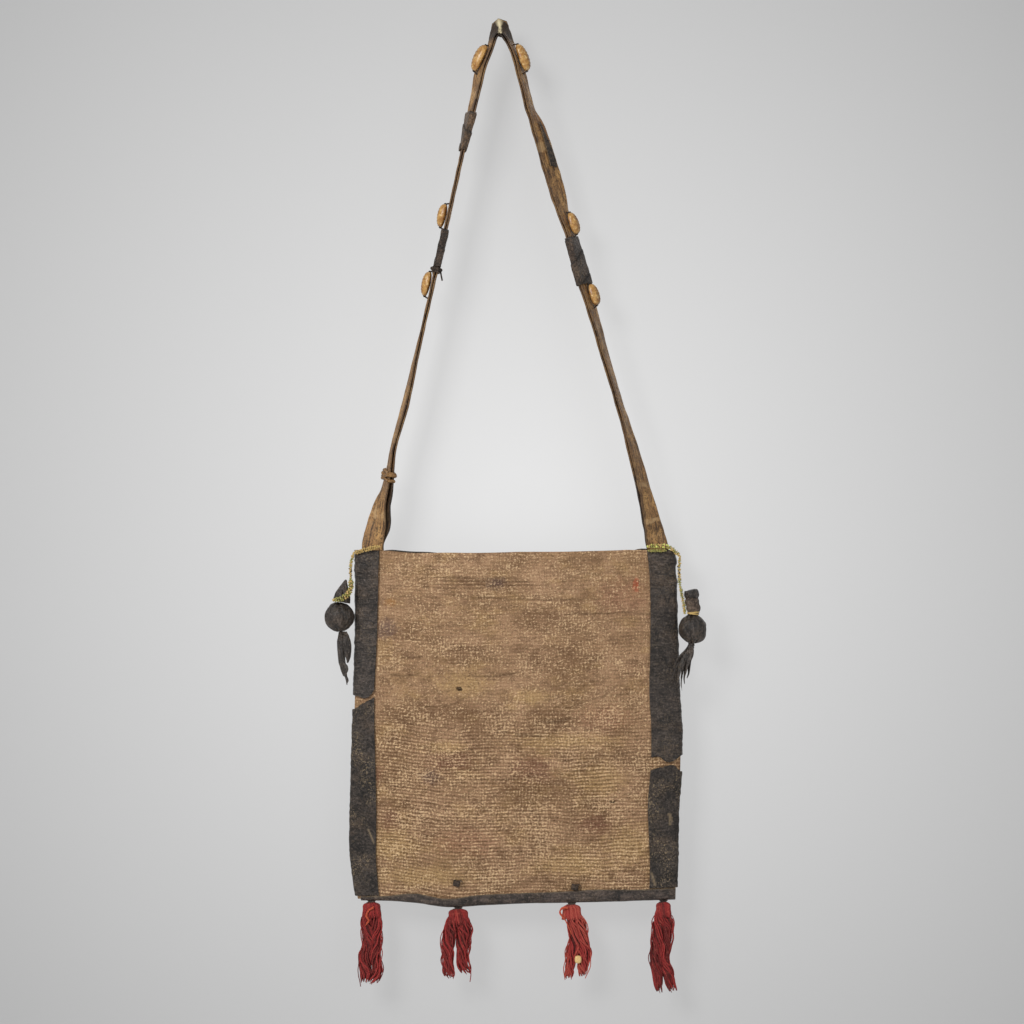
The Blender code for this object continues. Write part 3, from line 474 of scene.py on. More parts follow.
# Each kind's colour, how strong it is, and how wide its edge blurs as a share of its half width
SPOT_KINDS = {
    "stain": ("#54454a", 0.62, 0.9), "plum": ("#76483f", 0.5, 0.9), "dirt": ("#6c4f38", 0.5, 0.9),
    "red": ("#b5482c", 0.8, 0.2), "rust": ("#a36f35", 0.5, 0.9), "worn": ("#cba873", 0.5, 0.9),
    "rose": ("#a6795f", 0.5, 0.9), "hole": ("#1d130c", 0.95, 0.2),
}
OPERATIONS = ("ADD", "SUBTRACT", "MULTIPLY", "MAXIMUM")


def add_node(tree, kind, inputs=None, out=0, **settings):
    """Adds a node with its settings, gives its inputs values or links, and returns one of its outputs."""
    node = tree.nodes.new(kind)
    for name, value in settings.items():
        setattr(node, name, value)
    for socket, value in (inputs or {}).items():
        if isinstance(value, bpy.types.NodeSocket):
            tree.links.new(value, node.inputs[socket])
        else:
            node.inputs[socket].default_value = value
    return node.outputs[out]


def rgba(colour):
    """Linear RGBA of a hex colour or of linear RGB."""
    return (*(linear(colour) if isinstance(colour, str) else colour), 1.0)


def shade(colour, share, least=0.0):
    """Linear RGB made darker or lighter."""
    return [min(1.0, c * share + least) for c in colour]


class Finish:
    """A material whose colour and relief are built up coat by coat.

    What a coat follows is a number, a socket, the name of a mark, (operation, term, term ...), or
    (term, low, high, at_low, at_high), which takes low..high to at_low..at_high, 0..1 if they are left out.
    """

    def __init__(self, name, colour, rough, gloss=0.5):
        self.made = bpy.data.materials.new(name)
        self.made.use_nodes = True
        self.tree = self.made.node_tree
        self.shader = self.tree.nodes["Principled BSDF"]
        where = self.tree.nodes.new("ShaderNodeTexCoord").outputs
        self.place, self.uv = where["Object"], where["UV"]
        self.base, self.normal = rgba(colour), None
        self.put("Roughness", rough)
        self.put("Specular IOR Level", gloss)

    def put(self, socket, value):
        """Gives an input of the shader a value or a link."""
        if isinstance(value, bpy.types.NodeSocket):
            self.tree.links.new(value, self.shader.inputs[socket])
        else:
            self.shader.inputs[socket].default_value = value

    def term(self, term):
        """The number or socket that a term stands for."""
        if isinstance(term, str):
            return add_node(self.tree, "ShaderNodeAttribute", out="Fac", attribute_name=term)
        if not isinstance(term, tuple):
            return term
        first, *rest = term
        if first in OPERATIONS:
            found = self.term(rest[0])
            for other in rest[1:]:
                found = add_node(
                    self.tree, "ShaderNodeMath", {0: found, 1: self.term(other)}, operation=first
                )
            return found
        ends = zip(("From Min", "From Max", "To Min", "To Max"), (*rest, 0.0, 1.0))
        return add_node(self.tree, "ShaderNodeMapRange", {"Value": self.term(first), **dict(ends)})

    def grain(self, size_mm, detail=3.0, rough=0.55, shift=(0, 0, 0), source=None):
        """Noise whose lumps are about size_mm, one number or (x, y, z)."""
        size = (size_mm,) * 3 if isinstance(size_mm, (int, float)) else size_mm
        vector = add_node(self.tree, "ShaderNodeMapping", {
            "Vector": source or self.place, "Scale": [1 / (s * MM) for s in size], "Location": shift,
        })
        return add_node(
            self.tree, "ShaderNodeTexNoise",
            {"Vector": vector, "Scale": 1.0, "Detail": detail, "Roughness": rough}, "Fac",
        )

    def reach(self, scale, shift):
        """Distance from a middle, in units of 1 / scale."""
        centred = add_node(
            self.tree, "ShaderNodeMapping", {"Vector": self.place, "Scale": scale, "Location": shift}
        )
        return add_node(self.tree, "ShaderNodeVectorMath", {0: centred}, "Value", operation="LENGTH")

    def coat(self, term, colour, blend="MIX"):
        """Lays a colour over the one so far, as thickly as the term says."""
        self.base = add_node(
            self.tree, "ShaderNodeMix", {0: self.term(term), 6: self.base, 7: rgba(colour)}, 2,
            data_type="RGBA", blend_type=blend,
        )

    def relief(self, term, depth_mm, strength):
        """Raises the surface by a pattern, on top of the relief so far."""
        inputs = {"Height": self.term(term), "Distance": depth_mm * MM, "Strength": strength}
        if self.normal:
            inputs["Normal"] = self.normal
        self.normal = add_node(self.tree, "ShaderNodeBump", inputs)
        self.put("Normal", self.normal)

    def done(self):
        self.put("Base Color", self.base)
        return self.made


def ribbed_cotton(pouch):
    """Handspun cotton in a ribbed weave, smoked brown: matt, painted shade in the grooves, bare threads on the
    ribs.
    """
    cotton = Finish("ribbed_cotton", "#a07f5f", 0.92, 0.2)
    cotton.coat((cotton.grain(42, 4), 0.38, 0.62), pouch.cloth_colour)
    cotton.coat((cotton.grain((30, 30, 18), 4, 0.6, (8, 2, 4)), 0.5, 0.66, 0, 0.65), "#ab8a5e")
    cotton.coat((cotton.grain((13, 13, 8), 4, 0.6, (3, 0, 1)), 0.48, 0.66, 0, 0.7), "#7d6048")
    cotton.coat((cotton.grain((20, 20, 9), 4, 0.65, (6, 0, 2)), 0.5, 0.68, 0, 0.5), "#745740")
    for x, below, half_w, half_h, kind in SPOTS:
        colour, strength, blur = SPOT_KINDS[kind]
        reach = cotton.reach(
            (1 / (half_w * MM), 0, 1 / (half_h * MM)), (-x / half_w, 0, (DROP / MM + below) / half_h)
        )
        ragged = (cotton.grain(4, 4, 0.65, (x, 0, below)), 0.3, 0.7, -0.5, 0.5)
        cotton.coat((("ADD", reach, ragged), 1.0 - blur / 2, 1.0 + blur / 2, strength, 0), colour)
    # Warp threads cross the ribs, so that a rib is a row of small pale loops
    shift = cotton.term((cotton.grain(9, 3, 0.6, (2, 0, 7)), 0.3, 0.7, -1.6 * MM, 1.6 * MM))
    moved = add_node(cotton.tree, "ShaderNodeVectorMath", {0: cotton.place, 1: shift}, operation="ADD")
    threads = add_node(
        cotton.tree, "ShaderNodeMapping", {"Vector": moved, "Scale": (WAVE / WARP_PITCH,) * 3}
    )
    warp = add_node(
        cotton.tree, "ShaderNodeTexWave",
        {"Vector": threads, "Scale": 1.0, "Distortion": 5.0, "Detail": 3.0, "Detail Scale": 0.45}, "Fac",
        bands_direction="X",
    )
    dash = cotton.grain((3.0, 3, 1.0), 3, 0.65, source=moved)
    fleck = cotton.grain((1.7, 3, 1.3), 3, 0.6, (5, 5, 5))
    zone = cotton.grain((34, 34, 22), 3, 0.6, (7, 0, 5))
    bare = (
        "ADD", dash, ("MULTIPLY", ("crest", 0.3, 0.95), "ribs", 0.125), (zone, 0.36, 0.64, -0.05, 0.05),
        (warp, 0.3, 0.9, -0.035, 0.045), (fleck, 0.35, 0.65, -0.06, 0.06),
    )
    # Painted shade: darker in the grooves between the ribs, between the warp loops and in the hollows of the
    # flecks and dashes, most where the ribs stand out most.
    gap = ("ADD", ("crest", 0.0, 0.5, 0.62, 0.0), (warp, 0.0, 0.4, 0.12, 0.0))
    gap = ("MULTIPLY", gap, ("ribs", 0.3, 1.0, 0.35, 1.0))
    gap = ("ADD", gap, (fleck, 0.32, 0.47, 0.5, 0.0), (dash, 0.3, 0.45, 0.35, 0.0))
    cotton.coat(gap, pouch.groove_shade_colour)
    cotton.coat(("MULTIPLY", (bare, 0.56, 0.7), 0.8), pouch.worn_colour)
    cotton.coat((cotton.grain((1.1, 2, 1.1), 2, 0.6, (2, 2, 2)), 0.5, 0.7, 0, 0.45), "#6b5038")
    # Painted shade: the cloth is darker along its creases, the deeper the darker.
    cotton.coat(("fold", 0.1, 1.0, 0, 0.55), "#453122")
    cotton.relief(("ADD", ("MULTIPLY", warp, 0.3), ("ADD", fleck, dash)), 0.9, 0.9)
    return cotton.done()


def goat_leather(name, colour, wear, rough=0.45, wrinkle_mm=(6, 6, 1.6), dry=0.35, crisp=1.0):
    """Blackened goat leather, dressed and handled: pebbled, fine cross wrinkles with painted shade in their
    hollows and painted highlight on their crests, rubbed spots, dull gloss.
    """
    hide = Finish(name, shade(colour, 0.45), rough, 0.4)
    blotch = hide.grain(18, 4, 0.6)
    pits = hide.grain(1.7, 3, 0.65, (6, 1, 3))
    wrinkles = hide.grain(wrinkle_mm, 3, 0.6)
    dark, lit = shade(colour, 0.22), shade(colour, 3.4, 0.02)
    hide.coat((blotch, 0.38, 0.62), shade(colour, 1.5))
    hide.coat((hide.grain((26, 26, 14), 4, 0.6, (1, 7, 3)), 0.5, 0.66, 0, 0.5), "#5e4d3e")
    # Painted shade in the hollows of the pits and wrinkles and painted highlight (lit) on their crests,
    # following the bump.
    hide.coat((pits, 0.36, 0.52, 0.75 * crisp, 0), dark)
    hide.coat((wrinkles, 0.36, 0.47, 0.6 * crisp, 0), dark)
    hide.coat((wrinkles, 0.54, 0.66, 0, 0.35 * crisp), lit)
    hide.coat((pits, 0.55, 0.68, 0, 0.6 * crisp), lit)
    specks = (hide.grain(1.5, 3, 0.65, (4, 4, 4)), 0.53, 0.66)
    zone = (hide.grain(22, 3, 0.5, (9, 1, 2)), 0.46, 0.6)
    hide.coat(("MULTIPLY", specks, zone, dry), wear)
    hide.coat(("MULTIPLY", "pale", 0.6), wear)
    # Near black along the bands' slits, the binding's seam and the edges of the wrapped turns, and painted
    # shade in the pleats' valleys of the pendant balls.
    hide.coat(("MULTIPLY", "cut_and_pleat_shade", 0.9), "#120f0d")
    hide.put("Roughness", hide.term((blotch, 0.35, 0.65, rough + 0.1, rough - 0.06)))
    hide.relief(wrinkles, 2.4, 0.9)
    hide.relief(pits, 0.8, 0.9)
    return hide.done()


def raw_edge(colour):
    """The cut edge of leather: fibrous and matt."""
    edge = Finish("cut_leather_edge", shade(colour, 0.35), 0.9)
    edge.coat((edge.grain(1.2, 3), 0.35, 0.7), colour)
    return edge.done()


def handled_strap(strap, name="handled_strap_cloth"):
    """A folded cloth strap greased by years of handling: lengthwise streaks, dark hems, a low sheen, painted
    shade at the apex and on the rear layer near the feet, and painted highlights along the apex fold and on
    one paler stretch of the right leg.
    """
    cloth = Finish(name, strap.dark_colour, 0.6, 0.4)
    streak = cloth.grain((1.7, 26, 5), 4, 0.62, source=cloth.uv)
    fine = cloth.grain((0.8, 7, 5), 3, 0.6, (5, 2, 0), cloth.uv)
    pits = cloth.grain(1.6, 3, 0.65)
    cloth.coat((streak, 0.38, 0.56), strap.strap_colour)
    cloth.coat((cloth.grain((9, 9, 16), 4, 0.65), 0.48, 0.64, 0, 0.7), strap.light_colour)
    cloth.coat((fine, 0.55, 0.68, 0, 0.6), strap.light_colour)
    cloth.coat((pits, 0.36, 0.5, 0.75, 0), strap.dark_colour)
    cloth.coat(("red", 0.0, 1.0, 0, 0.6), "#6d3d26")
    # Tan where the strap is worn, and in one stretch of the right leg a painted highlight.
    ragged = ("ADD", cloth.grain(5, 4, 0.65, (1, 1, 1)), ("MULTIPLY", "wear_and_highlight", 0.55))
    cloth.coat((ragged, 0.72, 0.9, 0, 0.75), "#b9976b")
    cloth.coat(("hem", 0.2, 1.0, 0, 0.85), strap.dark_colour)
    # Painted shade, nearly black, over the peg at the apex and on the rear layer near the feet.
    cloth.coat((("SUBTRACT", "strap_shade", (streak, 0.56, 0.66, 0, 0.6)), 0.1, 0.9, 0, 0.93), "#20160f")
    # A pale painted highlight along the fold at the apex.
    cloth.coat(("fold_highlight", 0.2, 0.8), "#cfc19d")
    cloth.relief(streak, 1.1, 0.8)
    cloth.relief(pits, 0.45, 0.7)
    return cloth.done()


def old_shell(strap):
    """Cowrie shell, yellowed and polished: glossy, mottled ochre, dark in the toothed slit, with painted shade
    on the side against the strap.
    """
    shell = Finish("old_cowrie_shell", "#8f5f2a", 0.38)
    mottle = shell.grain(4.5, 4, 0.65)
    shell.coat((mottle, 0.38, 0.62), strap.shell_colour)
    shell.coat((shell.grain(2.4, 3, 0.6, (1, 5, 2)), 0.54, 0.68, 0, 0.75), "#e3c68c")
    shell.coat((shell.grain((1.2, 1.2, 4), 3, 0.65, (3, 3, 3)), 0.58, 0.68, 0, 0.7), strap.shell_dark)
    # Dark in the slit, between the teeth and at the ends, and painted shade on the side against the strap.
    shell.coat("slit_and_foot_shade", strap.shell_dark)
    shell.put("Coat Weight", 0.2)
    shell.put("Coat Roughness", 0.3)
    shell.relief(mottle, 0.5, 0.6)
    return shell.done()


def glass_beads(trim):
    """Small drawn glass beads on cord: shiny, each its own green, straw or brown."""
    glass = Finish("small_glass_beads", trim.bead_green, 0.28)
    glass.coat(("tint", 0.45, 0.55), trim.bead_gold)
    glass.coat(("tint", 0.86, 0.88), "#4a3d22")
    glass.coat(("tint", 0.1, 0.12, 1, 0), "#d9dc74")
    return glass.done()


def spun_yarn(name, colours):
    """Plied wool yarn: soft and matt, twisted fibres 0.9 mm apart with painted shade between the plies,
    strands faded unevenly, their low tints also standing for painted shade inside a skein.
    """
    dark, middle, light = colours
    wool = Finish(name, dark, 0.9)
    wool.coat(("tint", 0.0, 0.5), middle)
    wool.coat(("tint", 0.62, 1.0, 0, 0.9), light)
    turned = add_node(
        wool.tree, "ShaderNodeMapping",
        {"Vector": wool.uv, "Scale": (1 / MM,) * 3, "Rotation": (0, 0, PLY_ANGLE)},
    )
    ply = add_node(
        wool.tree, "ShaderNodeTexWave",
        {"Vector": turned, "Scale": 0.34, "Distortion": 0.6, "Detail": 1.0}, "Fac", bands_direction="X",
    )
    # Painted shade between the plies.
    wool.coat((ply, 0.0, 0.5, 0.55, 0), dark)
    wool.coat((wool.grain(2.5, 3, 0.6), 0.55, 0.75, 0, 0.35), light)
    wool.put("Sheen Weight", 0.15)
    wool.put("Sheen Tint", rgba(light))
    wool.relief(ply, 0.5, 0.9)
    return wool.done()


def backdrop_paper(stage):
    """Seamless grey paper that glows as though lit from behind, palest in the middle and greyer towards its
    edges as painted light falloff. Its back lets light and sight through.
    """
    paper = Finish("backdrop_paper", stage.pale, 1.0, 0.0)
    # Painted light falloff: greyer away from the middle.
    paper.coat((paper.reach((1, 0, 0.95), (-0.018, 0, 0.40)), 0.03, 0.64), stage.grey)
    paper.put("Emission Color", paper.base)
    paper.put("Emission Strength", PAPER_GLOW)
    paper.coat(1.0, [PAPER_LIT] * 3, "MULTIPLY")
    behind = add_node(paper.tree, "ShaderNodeNewGeometry", out="Backfacing")
    rays = [
        add_node(paper.tree, "ShaderNodeLightPath", out=out) for out in ("Is Shadow Ray", "Is Diffuse Ray")
    ]
    clear = add_node(paper.tree, "ShaderNodeBsdfTransparent")
    both = add_node(
        paper.tree, "ShaderNodeMixShader",
        {0: paper.term(("MAXIMUM", behind, *rays)), 1: paper.shader.outputs[0], 2: clear},
    )
    paper.tree.links.new(both, paper.tree.nodes["Material Output"].inputs["Surface"])
    return paper.done()


# The cloth

ROWS_PER_RIB = 5
CLOTH_COLUMNS = 80
# Old creases: from x, mm under the mouth, to x, mm under, half width, depth share, sag, all in mm
CREASES = (
    (-60, 23.2, 20, 23.8, 0.8, 0.9, 0.5), (-54, 26.6, 30, 27.2, 0.8, 1.0, 0.5),
    (-64, 30, 40, 30.6, 0.8, 0.85, 0.6), (-60, 33.4, 0, 34, 0.8, 0.6, 0), (-45, 40, 92, 43, 0.9, 0.8, 1.5),
    (54, 57, 142, 56, 0.9, 0.8, -1), (-108, 108, -72, 110.5, 0.8, 0.8, 2.5),
    (-36, 111, 20, 108.5, 0.9, 0.8, 2), (-90, 95.5, -68, 95.5, 0.8, 0.8, 0),
    (-70, 140, -36, 135, 1.2, 0.6, 2), (13, 164, 41, 167, 1.1, 1.0, 0), (-92, 152, -30, 158, 1.2, 0.5, 3),
    (60, 141, 118, 128, 1.2, 0.5, -3), (36, 152, 64, 150, 1.4, 0.9, 2), (-20, 205, 45, 199, 1.2, 0.5, 2),
    (-112, 206, -58, 214, 1.1, 0.45, 2), (-75, 12, -38, 14, 1.0, 0.4, 1), (70, 186, 125, 179, 1.2, 0.5, 2),
    (112, 256, 131, 258, 0.9, 0.8, 0), (-106, 30, -60, 33, 0.8, 0.45, 0), (-106, 40, -50, 41, 0.8, 0.4, 0),
)


def crease_at(x, below):
    """How deep the cloth is creased, from 0 to 1, at mm right of the peg and mm under the mouth."""
    deepest = 0.0
    for x0, d0, x1, d1, half, share, sag in CREASES:
        t = (x - x0) / (x1 - x0)
        if -0.1 < t < 1.1:
            wander = 1.2 * ripple((x, 0, d0), 9.0)
            off = (below - lerp(d0, d1, t) - sag * math.sin(math.pi * clamp(t)) - wander) / half
            ends = ease(-0.1, 0.15, t) * ease(1.1, 0.85, t)
            deepest = max(deepest, share * ends * math.exp(-off * off))
    return deepest


class BAG_OT_cloth(bpy.types.Operator):
    """Ribbed cloth of the face, with its creases, worn ribs and stains"""

    bl_idname = "bag.cloth"
    bl_label = "Cloth"

    def execute(self, context):
        pouch = context.scene.bag.pouch
        ribs = round(BAG_HEIGHT / pouch.rib_pitch)

        def place(u, v):
            point = face_point(u, v, pouch.cloth)
            x, below = down(point)
            inner = ease(26, 52, BAG_WIDTH / MM * min(u, 1 - u)) * ease(10, 34, BAG_HEIGHT / MM * v)
            strength = lerp(0.4, 1.15, ease(0.62, 0.4, v)) * (0.85 + 0.6 * ripple((x, 0, below), 34.0))
            phase = ribs * v + 0.8 * ripple((x, 0, below), (75.0, 1.0, 34.0))
            phase += 0.35 * ripple((x, 0, below), 14.0, 5)
            phase += 1.4 * math.sin(x / 90) * ease(0.8, 0.3, v)
            slub = 0.8 + 0.7 * ripple((x, 0, round(phase) * 3.7), (9.0, 1.0, 1.0))
            crest = (0.5 - 0.5 * math.cos(2 * math.pi * phase)) * slub
            fold = crease_at(x, below)
            swell = 1.7 * ripple((x, 0, below), (62.0, 1.0, 40.0), 3)
            swell += 0.8 * ripple((x, 0, below), (30.0, 1.0, 17.0))
            pucker = ease(88, 96, x) * ease(118, 108, x) * ease(118, 130, below) * ease(160, 146, below)
            swell += 0.55 * pucker * math.sin(2 * math.pi * x / 5.2 + 2 * ripple((x, 0, below), 12.0))
            relief = pouch.rib_height * clamp(crest) * strength - pouch.crease_depth * fold * inner
            point.y -= relief + swell * MM * inner
            return point, clamp(crest), clamp(strength), fold

        built = bmesh.new()
        lay_grid(
            built, CLOTH_COLUMNS, ROWS_PER_RIB * ribs, place, (BAG_WIDTH, BAG_HEIGHT),
            ("crest", "ribs", "fold"),
        )
        cloth = add_piece(
            "face_cloth", built, ribbed_cotton(pouch), "bag", ["face_panel"], 180
        )
        give_wall(cloth, pouch.cloth, -1)
        return {"FINISHED"}


# The leather round the pouch

FRONT_STEPS = 22
REAR_STEPS = 8
JAG_PLACES = (0, 0.25, 0.5, 0.75, 1)
FLANGE_TRIM = {-1: 1.8, 1: 0.2}
BAND_ROW = 1.1 * MM
BAND_FOOT = 0.0085  # where the left band ends, as a share of the bag's height
BINDING_COLUMNS = 190
BINDING_SEAM = 106.5
# Slits and scratches in the bands: points as mm right of the peg and mm under the mouth
CUTS = (
    ((143.5, 34), (147, 40), (150.5, 47)), ((150.5, 47), (153, 38)), ((141, 20), (158, 22.5)),
    ((-126, 9), (-118, 13)), ((154.5, 144.2), (164, 144.6)), ((158, 185.5), (163, 184)),
    ((-131, 131.5), (-124, 133)), ((148, 96), (150, 104)), ((-120, 62), (-112, 64)),
)
SCRATCHES = (
    ((151, 236), (153, 240), (154.5, 243)), ((152.5, 236), (154, 240)), ((152, 240), (152.5, 246)),
    ((136, 289), (139, 300)), ((137.5, 292), (139.5, 300)), ((-118, 250), (-113, 262)),
)


def line_distance(x, below, line):
    """Distance in mm from a place on the bag to a line of points."""
    at, nearest = Vector((x, below)), 1e9
    for a, b in zip(line, line[1:]):
        a, b = Vector(a), Vector(b)
        t = clamp((at - a).dot(b - a) / (b - a).length_squared)
        nearest = min(nearest, (at - a.lerp(b, t)).length)
    return nearest


def drawn(lines, point, half):
    """1 on a line, 0 further than half mm from it."""
    x, below = down(point)
    return max(ease(half, half * 0.4, line_distance(x, below, line)) for line in lines)


def soften(line, first, last, times=2):
    """Rounds the corners between two points of a line."""
    for _ in range(times):
        line = [
            (line[i - 1] + 2 * p + line[i + 1]) / 4 if first <= i <= last else p for i, p in enumerate(line)
        ]
    return line


def band_line(side, v_at, leather_out):
    """Points round one side of the pouch, from the front flange's inner edge to the rear one's."""
    line = []
    for k in range(FRONT_STEPS, -1, -1):
        v = v_at(k / FRONT_STEPS)
        z = cloth_z(0, v)
        width = (through(FLANGE[side], v) - FLANGE_TRIM[side]) * MM * k / FRONT_STEPS
        u = width / (cloth_edge(1, z) - cloth_edge(-1, z))
        line.append(face_point(u if side < 0 else 1 - u, v, leather_out))
    v, edge_u = v_at(0), 0 if side < 0 else 1
    z = cloth_z(edge_u, v)
    edge, deep = cloth_edge(side, z), -gape(edge_u, v)
    wall_x, rear_y = edge + side * EDGE_CLEAR, REAR_T + CLEAR
    for y in (deep - leather_out * 0.64, lerp(deep, REAR_T, 0.33), lerp(deep, REAR_T, 0.66), REAR_T):
        line.append(Vector((wall_x, y, z)))
    for k in range(REAR_STEPS + 1):
        line.append(Vector((edge - side * FLANGE_REAR * k / REAR_STEPS, rear_y, z)))
    return soften(line, FRONT_STEPS - 1, FRONT_STEPS + 6)


def torn_line(side, jags, seed):
    """Height share of a torn edge at each share of the flange's width."""
    def line(share):
        jag = through(tuple(zip(JAG_PLACES, jags)), share) + 0.9 * ripple((share * 9, seed, 0), 1.0)
        return 1 - (TEAR[side][0] + jag) * MM / BAG_HEIGHT
    return line


def turn_away(built, centre):
    """Turns the faces of a sheet away from a point."""
    built.normal_update()
    lean = sum((f.calc_center_median() - Vector(centre)).dot(f.normal) * f.calc_area() for f in built.faces)
    if lean < 0:
        bmesh.ops.reverse_faces(built, faces=built.faces)
    return built


def lay_lines(built, lines, size, marks=(), values=None):
    """Adds a sheet through lines of points, with marks worked out from each point."""
    columns, rows = len(lines[0]) - 1, len(lines) - 1

    def place(u, v):
        point = lines[round(v * rows)][round(u * columns)]
        return (point, *values(point)) if marks else point

    return lay_grid(built, columns, rows, place, size, marks)


class BAG_OT_bands(bpy.types.Operator):
    """Rear panel, four torn side bands and the binding along the bottom"""

    bl_idname = "bag.bands"
    bl_label = "Leather"

    def execute(self, context):
        bag = context.scene.bag
        leather = bag.leather
        out = bag.pouch.cloth + 0.4 * MM + CLEAR
        edge = raw_edge(leather.edge_colour)
        upper = goat_leather("blackened_goat_leather", leather.band_colour, leather.wear_colour, 0.4)
        lower = goat_leather(
            "grained_goat_leather", shade(leather.band_colour, 0.72), leather.wear_colour, 0.62, (3, 3, 2),
            0.9,
        )
        smooth = goat_leather(
            "smooth_black_leather", leather.binding_colour, leather.wear_colour, 0.5, (9, 6, 2.4), 0.25
        )

        def foot(_):
            return BAND_FOOT

        def right_foot(_):
            return (across(BINDING_HEIGHT, 1) * MM + CLEAR) / BAG_HEIGHT

        def mouth(_):
            return 1.0

        pieces = (
            ("left_band_upper", -1, torn_line(-1, TEAR[-1][1], 1), mouth, upper, 1.9),
            ("left_band_lower", -1, foot, torn_line(-1, TEAR[-1][2], 2), lower, 1.2),
            ("right_band_upper", 1, torn_line(1, TEAR[1][1], 3), mouth, upper, 1.6),
            ("right_band_lower", 1, right_foot, torn_line(1, TEAR[1][2], 4), lower, 1.3),
        )
        for name, side, low, high, finish, rough in pieces:
            rows = round((high(0.5) - low(0.5)) * BAG_HEIGHT / BAND_ROW)
            lines = [
                band_line(side, lambda share: lerp(low(share), high(share), i / rows), out)
                for i in range(rows + 1)
            ]
            built = bmesh.new()
            lay_lines(
                built, lines, (55 * MM, rows * BAND_ROW), ("cut_and_pleat_shade", "pale"),
                lambda p: (drawn(CUTS, p, 0.8), drawn(SCRATCHES, p, 1.1)),
            )
            turn_away(built, (MIDDLE_X, 0, -DROP - BAG_HEIGHT / 2))
            height = leather.wrinkle * rough

            def crumple(co):
                near_top = ease(-DROP - 50 * MM, -DROP - 8 * MM, co.z)
                return (1 + 1.8 * near_top) * (1 if co.y < REAR_T else 0)

            rumple(
                built, (height * 1.6, (0.022, 0.022, 0.011), 2.0),
                (height * 1.3, (0.013, 0.013, 0.0034), 1.0), (height * 0.8, (0.005, 0.005, 0.0045), 6.0),
                share=crumple, low=-0.25 * MM,
            )
            band = add_piece(name, built, [finish, edge])
            give_wall(band, leather.thickness, 1, 1, True)
        self.add_binding(leather, out, smooth, edge)
        self.add_rear(leather)
        return {"FINISHED"}

    def add_binding(self, leather, out, finish, edge):
        """The leather folded round the bottom edge."""
        lines = []
        for i in range(BINDING_COLUMNS + 1):
            u = lerp(BINDING_START, 1, i / BINDING_COLUMNS)
            low = face_point(u, 0, out)
            v_top = (across(BINDING_HEIGHT, u) + 0.35 * ripple((u * 60, 0, 0), 1.0)) * MM / BAG_HEIGHT
            high = face_point(u, v_top, out)
            under = low.z - EDGE_CLEAR
            line = [face_point(u, v_top * (1 - k / 6), out) for k in range(6)]
            line += [low, Vector((low.x, low.y + out * 0.36, under)), Vector((low.x, 0, under))]
            line += [Vector((low.x, REAR_T, under)), Vector((low.x, REAR_T + CLEAR, low.z))]
            line += [Vector((high.x, REAR_T + CLEAR, lerp(low.z, high.z, k / 4))) for k in range(1, 5)]
            lines.append(soften(line, 5, 10))
        built = bmesh.new()
        lay_lines(
            built, lines, (26 * MM, BAG_WIDTH), ("cut_and_pleat_shade", "pale"),
            lambda p: (ease(1.1, 0.5, abs(p.x / MM - BINDING_SEAM)), self.frayed(p, out)),
        )
        turn_away(built, (MIDDLE_X, 0, -DROP - BAG_HEIGHT * 0.5))
        rumple(built, (0.2 * MM, (0.02, 0.02, 0.006), 3.0), (0.12 * MM, (0.005, 0.005, 0.004), 4.0))
        binding = add_piece("bottom_binding", built, [finish, edge])
        give_wall(binding, leather.thickness, 1, 1, True)

    def frayed(self, point, out):
        """How close a point lies to the binding's edge on the cloth."""
        if point.y > 0:
            return 0.0
        u = across_at(point.x, point.z)
        top = face_point(u, across(BINDING_HEIGHT, u) * MM / BAG_HEIGHT, out).z
        return ease(1.5, 0.4, (top - point.z) / MM) * (0.5 + 0.5 * ripple((point.x, 0, 0), 0.006))

    def add_rear(self, leather):
        """The flat sheet behind the cloth."""
        def place(u, v):
            peek = max(ease(0.05, 0.12, u) * ease(0.3, 0.2, u), ease(0.86, 0.9, u) * ease(0.98, 0.95, u))
            z = lerp(cloth_z(u, 0), cloth_z(u, 1) + lerp(-1.2, 1.1, peek) * MM, v)
            return Vector((lerp(cloth_edge(-1, z), cloth_edge(1, z), u), 0.12 * MM, z))

        built = bmesh.new()
        lay_grid(built, 90, 110, place, (BAG_WIDTH, BAG_HEIGHT))
        rumple(built, (0.22 * MM, (0.03, 0.03, 0.02), 6.0), (0.12 * MM, (0.006, 0.006, 0.006), 2.0))
        finish = goat_leather(
            "rear_panel_leather", leather.pendant_colour, leather.wear_colour, 0.6, (12, 12, 5), 0.4
        )
        rear = add_piece("rear_leather", built, finish, stands_for=["rear_panel"], sharp=180)
        give_wall(rear, REAR_T - 0.4 * MM, -1)


# The strap

STRAP_COLUMNS = 44
STRAP_ROWS = 540
REAR_FOOT = 2.8 * MM  # how far the rear layer stands out past the front one at the left foot


def foot_x(side):
    return cloth_edge(side, -DROP) - side * FOOT_INSET


